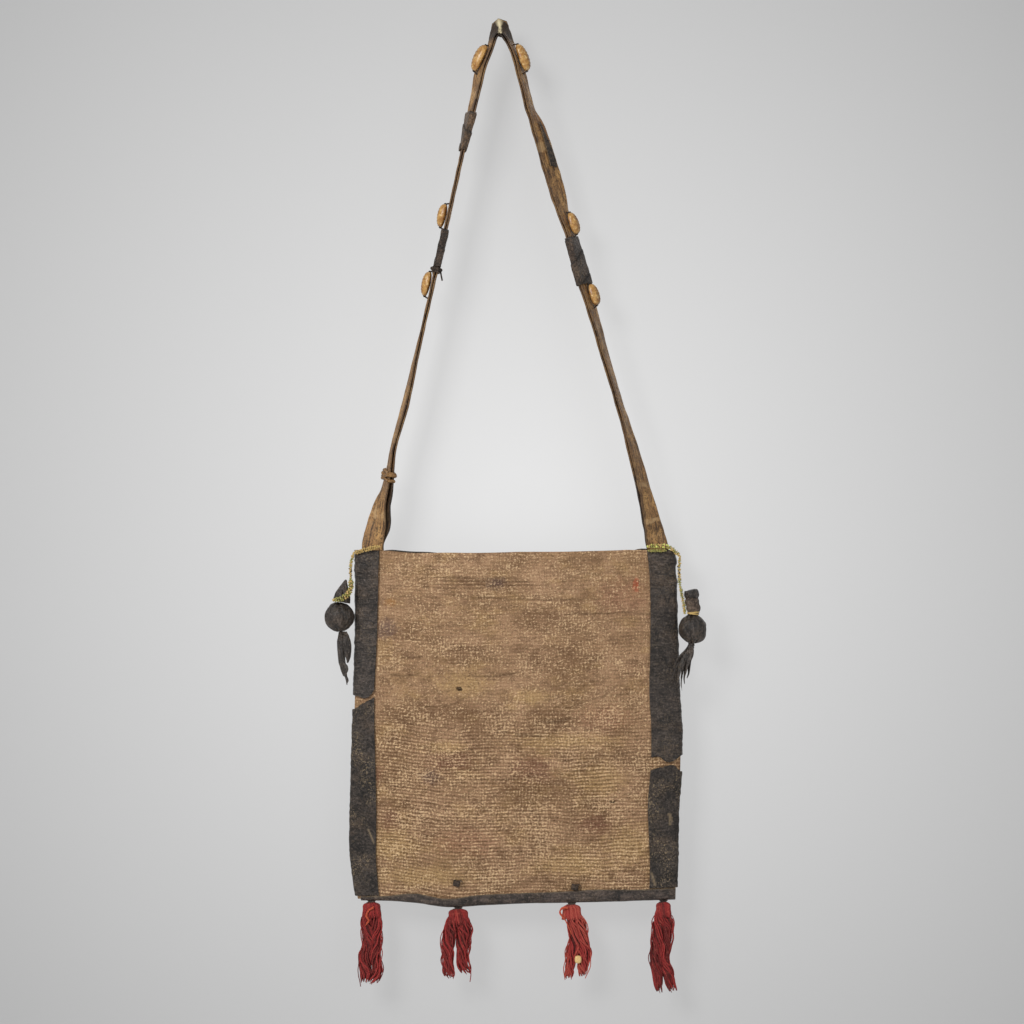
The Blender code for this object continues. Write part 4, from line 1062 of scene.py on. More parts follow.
def strap_stations():
    """Hem, ridge and half opening in rows of seven numbers, from the left foot to the right one."""
    wall = REAR_T + CLEAR + LEATHER
    foot_y = -(GAP + 0.5 * (SIDE_GAP[-1][1] * MM - GAP))

    def leg(side):
        rows = []
        for share, bend, roll in LEG[side]:
            angle = math.radians(roll)
            lean = Vector((side * math.cos(angle), math.sin(angle), 0)) * STRAP_WIDTH / 2
            y = min(foot_y, wall - GAP - STRAP_WIDTH / 2 * math.sin(angle))
            centre = Vector((foot_x(side) * share + bend * MM, y, -DROP * share))
            opening = 0.7 * MM if side < 0 and 0.85 < share < 0.98 else 0
            rows.append((*(centre - lean), *(centre + lean), opening))
        last = rows[-1]
        rows.append((last[0], last[1], last[2] - FOOT_DEPTH, last[3], last[4], last[5] - FOOT_DEPTH, last[6]))
        return rows

    crown = [
        (
            hem_x * MM, (ARCH_DEPTH - lean) * MM, hem_z * MM, x * MM, (ARCH_DEPTH + lean) * MM, z * MM,
            opening * MM,
        )
        for x, z, hem_x, hem_z, lean, opening in ARCH
    ]
    return leg(-1)[::-1] + crown + leg(1)


def strap_axes():
    """Centre, width direction to the ridge, front normal and half opening at even steps along the strap."""
    rows = smooth_path(strap_stations(), 12)
    rows = evenly(rows, STRAP_ROWS)
    found = []
    for i, row in enumerate(rows):
        before, after = rows[max(0, i - 1)], rows[min(len(rows) - 1, i + 1)]
        hem, ridge = Vector(row[:3]), Vector(row[3:6])
        ahead, behind = Vector(after[:3]) + Vector(after[3:6]), Vector(before[:3]) + Vector(before[3:6])
        tangent = (ahead - behind).normalized()
        width = (ridge - hem).normalized()
        normal = tangent.cross(width).normalized()
        found.append(((hem + ridge) / 2, normal.cross(tangent).normalized(), normal, max(0.0, row[6])))
    return found


def frame_at(axes, side, share):
    """The strap's frame on one leg at a share of the drop."""
    leg = sorted((a for a in axes if a[0].x * side > 0), key=lambda a: -a[0].z)
    for above, below in zip(leg, leg[1:]):
        if below[0].z <= -share * DROP <= above[0].z:
            t = (above[0].z + share * DROP) / (above[0].z - below[0].z)
            return tuple(lerp(a, b, t) for a, b in zip(above, below))
    raise ValueError("no such place on the strap")


def frames_down(axes, side, top, low, count):
    """count + 1 of the strap's frames between two shares of the drop."""
    return [frame_at(axes, side, lerp(top, low, i / count)) for i in range(count + 1)]


def on_strap(a, w, n):
    """A point at w across and n out from the middle of a frame of the strap."""
    return a[0] + a[1] * w + a[2] * n


class BAG_OT_strap(bpy.types.Operator):
    """Shoulder strap, folded lengthwise"""

    bl_idname = "bag.strap"
    bl_label = "Strap"

    def execute(self, context):
        axes = strap_axes()
        half = STRAP_WIDTH / 2
        mid = (STRAP_FOLD_GAP + STRAP_LAYER) / 2
        straight = STRAP_WIDTH - mid - STRAP_LAYER / 2
        flat = 2 * straight + math.pi * mid
        lengths = [0.0]
        for a, b in zip(axes, axes[1:]):
            lengths.append(lengths[-1] + (b[0] - a[0]).length)
        wraps = [(side, top - 0.01, low + 0.01) for _, side, top, low, *_ in WRAPS]

        def place(u, v):
            i = round(v * (len(axes) - 1))
            axis = axes[i]
            s, opening = u * flat, axis[3]
            front = s < flat / 2
            s = min(s, flat - s)
            if s < straight:
                w, n = s - half, mid + opening * (1 - s / straight)
            else:
                turn = (s - straight) / mid
                w, n = straight - half + mid * math.sin(turn), mid * math.cos(turn)
            share, side = -axis[0].z / DROP, 1 if axis[0].x > 0 else -1
            if not front and side < 0:
                wide = ease(0.85, 0.9, share) * ease(0.985, 0.95, share) * clamp(1 - s / straight)
                w -= REAR_FOOT * wide
            point = on_strap(axis, w, n if front else -n)
            held = any(side == wrap[0] and wrap[1] < share < wrap[2] for wrap in wraps)
            curl = 0.25 if held else 1.0
            wave = ripple(point, (0.006, 0.006, 0.03), 4) + 0.6 * ripple(point, (0.003, 0.003, 0.014), 8)
            point += axis[2] * (0.5 * MM * curl * wave)
            point += axis[1] * (
                0.7 * MM * curl * ripple((lengths[i], s < straight, front), (0.011, 1.0, 1.0), 2)
            )
            # A painted highlight down the lit fold edge at the apex, on the front layer only.
            line_half = lerp(1.6, 2.0, ease(9 * MM, 19 * MM, point.z)) * MM
            fold_highlight = ease(line_half, line_half * 0.3, abs(point.x)) * ease(1 * MM, 3 * MM, point.z) * front
            # Painted shade: darker over the peg at the apex, and on the rear layer near the feet.
            strap_shade = ease(-9 * MM, 3 * MM, point.z)
            if not front and share > 0.84:
                strap_shade = max(strap_shade, ease(0.84, 0.88, share) * 0.85)
            hem = ease(2.4 * MM, 0.4 * MM, s) * 0.8
            # Paler stretches: wear, and on the right leg at 0.21 a painted highlight.
            wear_and_highlight = max(strength * ease(d, 0, abs(share - at)) for leg, at, d, strength in WEAR_AND_HIGHLIGHT if leg == side)
            red = ease(0.12, 0.16, share) * ease(0.25, 0.2, share) * (0.5 if side > 0 else 0) * (1 + w / half)
            return point, hem, strap_shade, wear_and_highlight, red, fold_highlight

        built = bmesh.new()
        lay_grid(
            built, STRAP_COLUMNS, len(axes) - 1, place, (flat, lengths[-1]),
            ("hem", "strap_shade", "wear_and_highlight", "red", "fold_highlight"),
        )
        made = handled_strap(context.scene.bag.strap)
        strap = add_piece("folded_strap", built, made, "bag", ["strap"], 180)
        give_wall(strap, STRAP_LAYER, 0)
        return {"FINISHED"}


# Paler stretches of the strap, worn ones and on the right leg at 0.21 a painted highlight: leg, share of the
# drop, half length and strength
WEAR_AND_HIGHLIGHT = (
    (-1, 0.112, 0.03, 0.6), (1, 0.21, 0.02, 0.9), (-1, 0.3, 0.03, 0.35), (1, 0.34, 0.03, 0.35),
    (-1, 0.62, 0.05, 0.4), (1, 0.56, 0.04, 0.4), (1, 0.87, 0.015, 0.7), (1, 0.94, 0.012, 0.7),
    (1, 0.97, 0.01, 0.6), (-1, 0.93, 0.03, 0.6), (1, 0.72, 0.05, 0.3), (-1, 0.78, 0.04, 0.35),
)
# Leather sleeves: name, leg, shares of the drop, length of one turn of the wrapped strip in mm
WRAPS = (
    ("strap_wrap_left_upper", -1, 0.145, 0.219, 17), ("strap_wrap_left", -1, 0.374, 0.446, 15),
    ("strap_wrap_right", 1, 0.388, 0.48, 21),
)
WRAP_COLUMNS = 44
WRAP_ROW = 0.9 * MM
WRAP_LIFT = 0.55 * MM
TIE_SHARES = (0.4485, 0.4545)
# Cowries: leg, share of the drop, length, breadth and height in mm, place across the strap
COWRIES = (
    (-1, 0.044, 25, 14, 9, 0.0), (1, 0.042, 25, 14, 9, 0.0), (-1, 0.3485, 21, 13, 8, 0.0),
    (-1, 0.4815, 22, 13.5, 8, 0.0), (1, 0.3645, 20, 13, 7.5, 0.15), (1, 0.503, 19.5, 12, 7.5, 0.1),
)
COWRIE_STAND_OFF = 0.5 * MM
TEETH = 11
DOME = 1.9  # how much further a shell bulges to the front than to the strap
PATCH_LIFT = 0.8 * MM
STRAP_KNOT_SHARE = 0.853


def sleeve_outline(grow, count):
    """(w, n) points round a sleeve that clears the strap by grow."""
    w, n = STRAP_WIDTH / 2 + grow, STRAP_T / 2 + grow
    bend = w - n / 2
    corners = ((-w, n), (bend, n), (w, n / 2), (w, -n / 2), (bend, -n), (-w, -n), (-w, n))
    return evenly([Vector(p) for p in corners], count)


class BAG_OT_strap_leather(bpy.types.Operator):
    """Leather sleeves, tongue and knotted cords on the strap"""

    bl_idname = "bag.strap_leather"
    bl_label = "Strap leather"

    def execute(self, context):
        leather = context.scene.bag.leather
        axes = strap_axes()
        edge = raw_edge(leather.edge_colour)
        dark = goat_leather(
            "strap_wrap_leather", linear("#372a20"), leather.wear_colour, 0.5, (3, 3, 1.6), 0.45
        )
        brown = goat_leather(
            "greasy_wrap_leather", linear("#4b3826"), leather.wear_colour, 0.5, (3, 3, 9), 0.3
        )
        outline = sleeve_outline(GAP, WRAP_COLUMNS)
        for name, side, top, low, turn in WRAPS:
            rows = round((low - top) * DROP / WRAP_ROW)
            frames = frames_down(axes, side, top, low, rows)

            def place(u, v):
                w, n = outline[round(u * WRAP_COLUMNS)]
                axis = frames[round(v * rows)]
                lap = (v * (low - top) * DROP / MM / turn + u) % 1.0
                lift = 1 + WRAP_LIFT / STRAP_T * 2 * (1 - lap)
                slack = axis[3] * clamp(0.5 - w / STRAP_WIDTH)
                point = on_strap(axis, w * (1 + 0.02 * (1 - lap)), n * lift + math.copysign(slack, n))
                return point, ease(0.1, 0.0, lap) + ease(0.94, 1.0, lap)

            built = bmesh.new()
            lay_grid(built, WRAP_COLUMNS, rows, place, (45 * MM, rows * WRAP_ROW), ("cut_and_pleat_shade",))
            bmesh.ops.remove_doubles(built, verts=built.verts, dist=1e-6)
            turn_away(built, sum((f[0] for f in frames), Vector()) / len(frames))
            rumple(
                built, (0.5 * MM, (0.007, 0.007, 0.004), 5.0), (0.22 * MM, (0.002, 0.002, 0.002), 1.0),
                low=0,
            )
            finish = brown if name == "strap_wrap_left_upper" else dark
            sleeve = add_piece(name, built, [finish, edge])
            give_wall(sleeve, leather.thin * 0.8, 1, 1, True)
        self.add_patch(axes, leather, dark, edge)
        self.add_tie(axes, dark)
        self.add_strap_knot(axes, context.scene.bag.strap)
        return {"FINISHED"}

    def add_patch(self, axes, leather, dark, edge):
        """The tongue on the right leg's front."""
        rows = 44
        frames = frames_down(axes, 1, 0.165, 0.249, rows)

        def place(u, v):
            axis = frames[round(v * rows)]
            a, b = lerp(-0.12, -0.34, v), lerp(0.12, 0.56, ease(0, 0.75, v))
            w = lerp(a, b, u) * STRAP_WIDTH / 2 + 0.4 * MM * ripple((v * 14, round(u), 0), 1.0)
            n = STRAP_T / 2 + PATCH_LIFT + 0.25 * MM * ripple((u * 3, v * 9, 0), 1.0)
            slant = Vector((0, 0, -2.2 * MM * u * ease(0.85, 1, v)))
            return on_strap(axis, w, n) + slant

        built = bmesh.new()
        lay_grid(built, 12, rows, place, (9 * MM, 39 * MM))
        turn_away(built, frames[rows // 2][0])
        tongue = add_piece("strap_patch_right", built, [dark, edge])
        give_wall(tongue, leather.thin, 1, 1, True)

    def add_tie(self, axes, dark):
        """A cord tied round the foot of the left sleeve, with two knots and a stub."""
        built = bmesh.new()
        outline = sleeve_outline(GAP + 0.9 * MM, 36)
        for k in range(3):
            axis = frame_at(axes, -1, TIE_SHARES[0] + 0.0035 * k)
            loop = [
                on_strap(axis, w, n) + Vector((0, 0, 0.5 * MM * math.sin(i / 6)))
                for i, (w, n) in enumerate(outline)
            ]
            lay_tube(built, loop, 0.85 * MM, 7)
        centre, width, normal, _ = frame_at(axes, -1, sum(TIE_SHARES) / 2)
        for sign in (1, -1):
            at = centre - width * (STRAP_WIDTH / 2 - 2 * MM) + normal * sign * (STRAP_T / 2 + 1.9 * MM)
            lay_ball(built, at, (2 * MM, 1.8 * MM, 1.7 * MM))
            stub = [at, at + Vector((0.6, -0.5, -4.5)) * MM, at + Vector((1.6, -0.4, -9.5)) * MM]
            lay_tube(built, smooth_path(stub, 4), 0.75 * MM, 7)
            if sign > 0:
                lay_ball(built, stub[-1], (1.4 * MM,) * 3)
        add_piece("strap_tie", close_up(built), dark)

    def add_strap_knot(self, axes, strap):
        """The twisted strip knotted round the left leg above its foot."""
        built = bmesh.new()
        outline = sleeve_outline(0.9 * MM, 40)
        for k, thick in enumerate((1.5, 1.9, 1.3)):
            axis = frame_at(axes, -1, STRAP_KNOT_SHARE + 0.0075 * (k - 1))
            lean = (3.4, -2.2, 1.0)[k] * MM
            loop = [
                on_strap(axis, w * (1 + 0.05 * (k % 2)), n * 1.15)
                + Vector((0, 0, lean * w / STRAP_WIDTH + 0.8 * MM * ripple((w, n, k * 0.01), 0.006)))
                for w, n in outline
            ]
            lay_tube(built, loop, lambda v: thick * MM * (1 + 0.25 * ripple((v * 12, k, 0), 1.0)), 8)
        centre, width, normal, _ = frame_at(axes, -1, STRAP_KNOT_SHARE)
        for across_mm, up, size in ((4.5, 1.8, 2.6), (1.5, -1.6, 2.2), (6.6, -2.2, 1.9)):
            at = centre + width * across_mm * MM + normal * (STRAP_T / 2 + 1.6 * MM) + Vector((0, 0, up * MM))
            lay_ball(built, at, (size * MM, 1.5 * MM, size * 0.75 * MM), None, (14, 10))
        rumple(close_up(built), (0.35 * MM, 0.003, 3.0))
        cord = handled_strap(strap, "strap_lashing_cord")
        add_piece("strap_lashing", built, cord, stands_for=[])


def shell_base(axes, side, share, length, breadth, height, place):
    """Where a cowrie's flat foot lies, and its three directions."""
    centre, width, normal, _ = frame_at(axes, side, share)
    lengthwise = normal.cross(width)
    middle = centre + width * (place * STRAP_WIDTH / 2)
    lift = 0.0
    for k in range(-10, 11):
        c, w, n, opening = frame_at(axes, side, share + k / 10 * length / 2 / DROP)
        for b in (-1, -0.6, -0.2, 0.2, 0.6, 1):
            swell = opening * (0.5 - 0.5 * b)
            off = c + w * (b * STRAP_WIDTH / 2) + n * (STRAP_T / 2 + swell) - middle
            inside = 1 - (2 * off.dot(lengthwise) / length) ** 2 - (2 * off.dot(width) / breadth) ** 2
            if inside > 0:
                lift = max(lift, off.dot(normal) - height / 2 * (1 - math.sqrt(inside)))
    return middle + normal * (lift + COWRIE_STAND_OFF), lengthwise, width, normal


class BAG_OT_cowries(bpy.types.Operator):
    """Six cowrie shells sewn on the strap"""

    bl_idname = "bag.cowries"
    bl_label = "Cowries"

    def execute(self, context):
        strap = context.scene.bag.strap
        axes = strap_axes()
        shell = old_shell(strap)
        stitches = bmesh.new()
        for i, (side, share, *sizes, place_across) in enumerate(COWRIES, 1):
            length, breadth, height = (size * MM for size in sizes)
            base, lengthwise, width, normal = shell_base(
                axes, side, share, length, breadth, height, place_across
            )

            def place(u, v):
                along, around = math.pi * v, 2 * math.pi * u
                size = max(math.sin(along) ** 0.72, 0.02) * (1 + 0.06 * math.cos(along))
                from_slit = abs((around - math.pi / 2 + math.pi) % (2 * math.pi) - math.pi)
                mouth = ease(0.2, 0.05, from_slit) * ease(0.06, 0.16, v) * ease(0.94, 0.84, v)
                teeth = ease(0.75, 0.35, from_slit) * ease(0.12, 0.2, from_slit)
                teeth *= ease(0.05, 0.14, v) * ease(0.95, 0.86, v)
                ridges = 0.5 + 0.5 * math.cos(2 * math.pi * v * TEETH)
                bulge = 1 if math.sin(around) < 0 else DOME
                up = (math.sin(around) * bulge * size + 1) * height / (1 + DOME)
                up -= height * (0.2 * mouth + 0.035 * teeth * ridges)
                up += height * 0.05 * ease(0.9, 0.4, from_slit) * (1 - mouth) * size
                point = base + lengthwise * (-math.cos(along) * length / 2) + normal * up
                point += width * (math.cos(around) * breadth / 2 * size)
                # Darker in the slit, between the teeth and at both ends, and painted shade on the lower side
                # that meets the strap.
                dirt = max(mouth, 0.55 * teeth * (1 - ridges), ease(0.1, 0, v) * 0.7, ease(0.9, 1, v) * 0.7)
                dirt = max(dirt, 0.8 * ease(-0.55, -0.95, math.sin(around)))
                return point, dirt

            built = bmesh.new()
            lay_grid(built, 72, 56, place, (35 * MM, length), ("slit_and_foot_shade",))
            close_up(built, 1e-5)
            add_piece(f"cowrie_shell_{i}", built, shell, "bag", [f"cowrie_{i}"], 70)
            for end in (-1, 1):
                at = base + lengthwise * (end * (length / 2 - 0.4 * MM)) + normal * (height * 0.38)
                lay_ball(stitches, at, (1.5 * MM, 1.5 * MM, 1.7 * MM))
                foot = base + lengthwise * (end * (length / 2 + 1.5 * MM)) - normal * 0.6 * MM
                lay_tube(stitches, smooth_path([at, (at + foot) / 2 + normal * MM, foot], 3), 0.7 * MM, 6)
        thread = goat_leather(
            "waxed_sewing_thread", linear("#33261b"), linear("#5a4630"), 0.6, (2, 2, 2), 0.3
        )
        add_piece("cowrie_stitches", close_up(stitches), thread, stands_for=[])
        return {"FINISHED"}


# Beads, pendants and yarn

ROW_BEAD = 1.8 * MM
BALL_LEFT = 12.8 * MM
BALL_RIGHT = 12.4 * MM
# Joints and balls: mm out from the cloth's edge, mm up from the mouth
LEFT_TURN = (2.6, -1.6)
LEFT_PENDANT_TURN = (5.3, -23.4)
RIGHT_TURN = (5.5, -4.5)
RIGHT_PENDANT_TURN = (5.8, -31.5)
LEFT_BALL = (15.6, -58.9)
RIGHT_BALL = (16.9, -69.3)
LEATHER_FRONT = 3.8
TRIM_DEPTH = -(5.2 + LEATHER_FRONT + 0.35 + 1.8)
STRIP_ROWS = 22
STRIP_FLAT = 0.32


def lay_ball(built, centre, radii, turn=None, segments=(10, 8)):
    """Adds a rounded lump."""
    place = Matrix.LocRotScale(centre, turn, Vector(radii))
    return bmesh.ops.create_uvsphere(
        built, u_segments=segments[0], v_segments=segments[1], radius=1, matrix=place
    )["verts"]


def corner(side, out, up, depth=TRIM_DEPTH):
    """A point near a mouth corner: mm out from the cloth's edge, mm up from the mouth, mm of depth."""
    return Vector((cloth_edge(side, -DROP) + side * out * MM, depth * MM, -DROP + up * MM))


def before_leather(side, out, up, radius=ROW_BEAD):
    """A bead's middle in front of a side band at the mouth."""
    place = corner(side, out, up, 0)
    place.y = front_at(place.x, -DROP - MM, 2 * MM) - CLEAR - LEATHER - GAP - radius
    return place


def lay_beads(built, path, radius, rng, tints, strings=1, spread=0.0, pitch=1.7):
    """Adds small beads strung along a path, in strings that wind round it, and the cord inside them."""
    tint_layer = built.verts.layers.float.get("tint") or built.verts.layers.float.new("tint")
    run = sum((b - a).length for a, b in zip(path, path[1:]))
    count = max(2, round(run / (radius * pitch)))
    frames = travel(evenly(path, count))
    for i, (point, tangent, side, front) in enumerate(frames):
        for k in range(strings):
            turn = 2 * math.pi * (k / strings + i / 9)
            ends = ease(-0.04, 0.12, i / count) * ease(1.04, 0.88, i / count)
            loose = spread * rng.uniform(0.75, 1.15) * ends
            at = point + loose * (math.cos(turn) * side + math.sin(turn) * front)
            at += tangent * radius * rng.uniform(-0.4, 0.4)
            size = radius * rng.uniform(0.78, 1.15)
            basis = Matrix((side, front, tangent)).transposed().to_quaternion()
            made = lay_ball(built, at, (size, size, size * 0.75), basis, (8, 6))
            low, high = tints(i / count)
            tint = rng.uniform(low, high)
            for vert in made:
                vert[tint_layer] = tint
    lay_tube(built, evenly(path, count), radius * 0.4, 6, ("tint",), (1.0,))


def bead_piece(name, built, finish, body):
    add_piece(name, close_up(built), finish, body)


class BAG_OT_beads(bpy.types.Operator):
    """Bead rows at the strap's feet and bead strings that hang from them"""

    bl_idname = "bag.beads"
    bl_label = "Beads"

    def execute(self, context):
        trim = context.scene.bag.trim
        finish = glass_beads(trim)
        rng = random.Random(4)

        def straw(t):
            return (0.55, 0.84)

        def green(t):
            return (0.12, 0.5)

        def mixed_tints(t):
            return (0.2, 0.8) if rng.random() > 0.18 else (0.0, 0.08)

        def fading(t):
            return (0.3, 0.86) if t < 0.55 else (0.7, 1.0)

        def green_last(t):
            return (0.4, 0.98) if t < 0.75 else (0.15, 0.6)

        left_row = [corner(-1, *LEFT_TURN)]
        left_row += [before_leather(-1, *at) for at in ((-5.1, 0.5), (-13.2, 2.7), (-20.4, 4.3))]
        right_row = [before_leather(1, *at) for at in ((-23.4, 4.3), (-8, 4.6), (-2.2, 2.4), (2, -0.9))]
        right_row.append(corner(1, *RIGHT_TURN))
        lower_row = [before_leather(1, *at, 1.5 * MM) for at in ((-22.6, 0.4), (-15, 0.5), (-7, 0.5))]
        left_string = [corner(-1, *at) for at in ((2.9, -2.55), (5.1, -10), (5.5, -16), LEFT_PENDANT_TURN)]
        right_string = [corner(1, *at) for at in ((5.7, -5.45), (4.9, -14), (5.1, -22), RIGHT_PENDANT_TURN)]
        for name, body, points, radius, tints, strings, spread in (
            ("left_bead_row", "bag", left_row, 0.9, straw, 4, 1.25),
            ("right_bead_row", "bag", right_row, 1.0, mixed_tints, 4, 1.3),
            ("right_bead_row_lower", "bag", lower_row, 0.85, green, 3, 0.85),
            ("left_bead_string", "left_string", left_string, 0.95, fading, 3, 0.75),
            ("right_bead_string", "right_string", right_string, 1.0, green_last, 3, 0.85),
        ):
            built = bmesh.new()
            lay_beads(built, smooth_path(points, 8), radius * MM, rng, tints, strings, spread * MM)
            bead_piece(name, built, finish, body)
        return {"FINISHED"}


def gathered_ball(centre, radius, folds, seed, lobe=None):
    """A leather-covered ball whose cover is gathered at its top and foot, with painted shade in its pleats."""
    built = bmesh.new()
    cut_and_pleat_shade = built.verts.layers.float.new("cut_and_pleat_shade")
    lay_ball(built, Vector(), (1, 1, 1), None, (72, 48))
    for vert in built.verts:
        co = vert.co.copy()
        around, height = math.atan2(co.y, co.x), co.z
        bend = around + 0.5 * ripple((co.x, co.y, co.z * 0.6), 0.8, seed) + 0.25 * height
        gather = 0.25 + 0.75 * abs(height) ** 3
        ridge = abs(math.sin(folds / 2 * bend + seed)) ** 0.6
        pleat = (ridge - 0.6) * 0.15 * gather
        # Painted shade in the pleats' valleys, stronger towards the top and foot.
        vert[cut_and_pleat_shade] = ease(0.55, 0.1, ridge) * (0.35 + 0.65 * abs(height))
        swell = 0.05 * ripple(co, 0.7, seed) + 0.035 * ripple((co.x, co.y, co.z * 0.5), 0.22, seed)
        scale = 1 + pleat + swell
        vert.co = Vector((co.x * radius[0], co.y * radius[1], co.z * radius[2])) * scale
        if lobe:
            towards, reach, width = lobe
            near = max(0.0, vert.co.normalized().dot(Vector(towards).normalized()))
            vert.co += vert.co.normalized() * reach * near ** width
        vert.co += centre
    return close_up(built)


def lay_strip(built, side, points, halves, twist):
    """Adds a flat strip along (mm out, mm up, mm deep) at a corner, with half widths in mm."""
    points = [corner(side, out, up, TRIM_DEPTH + deep) for out, up, deep in points]
    path = evenly(smooth_path(points, 6), STRIP_ROWS)
    places = tuple((i / (len(halves) - 1), h) for i, h in enumerate(halves))
    frames = travel(path)

    def place(u, v):
        point, _, aside, front = frames[round(v * STRIP_ROWS)]
        turn = twist * v
        across_way = math.cos(turn) * aside + math.sin(turn) * front
        through_way = math.cos(turn) * front - math.sin(turn) * aside
        angle = 2 * math.pi * u
        depth = STRIP_FLAT + 0.03 * math.cos(2 * angle + 5 * v)
        return point + through(places, v) * MM * (
            math.cos(angle) * across_way + depth * math.sin(angle) * through_way
        )

    lay_grid(built, 14, STRIP_ROWS, place, (4 * halves[0] * MM, 50 * MM))


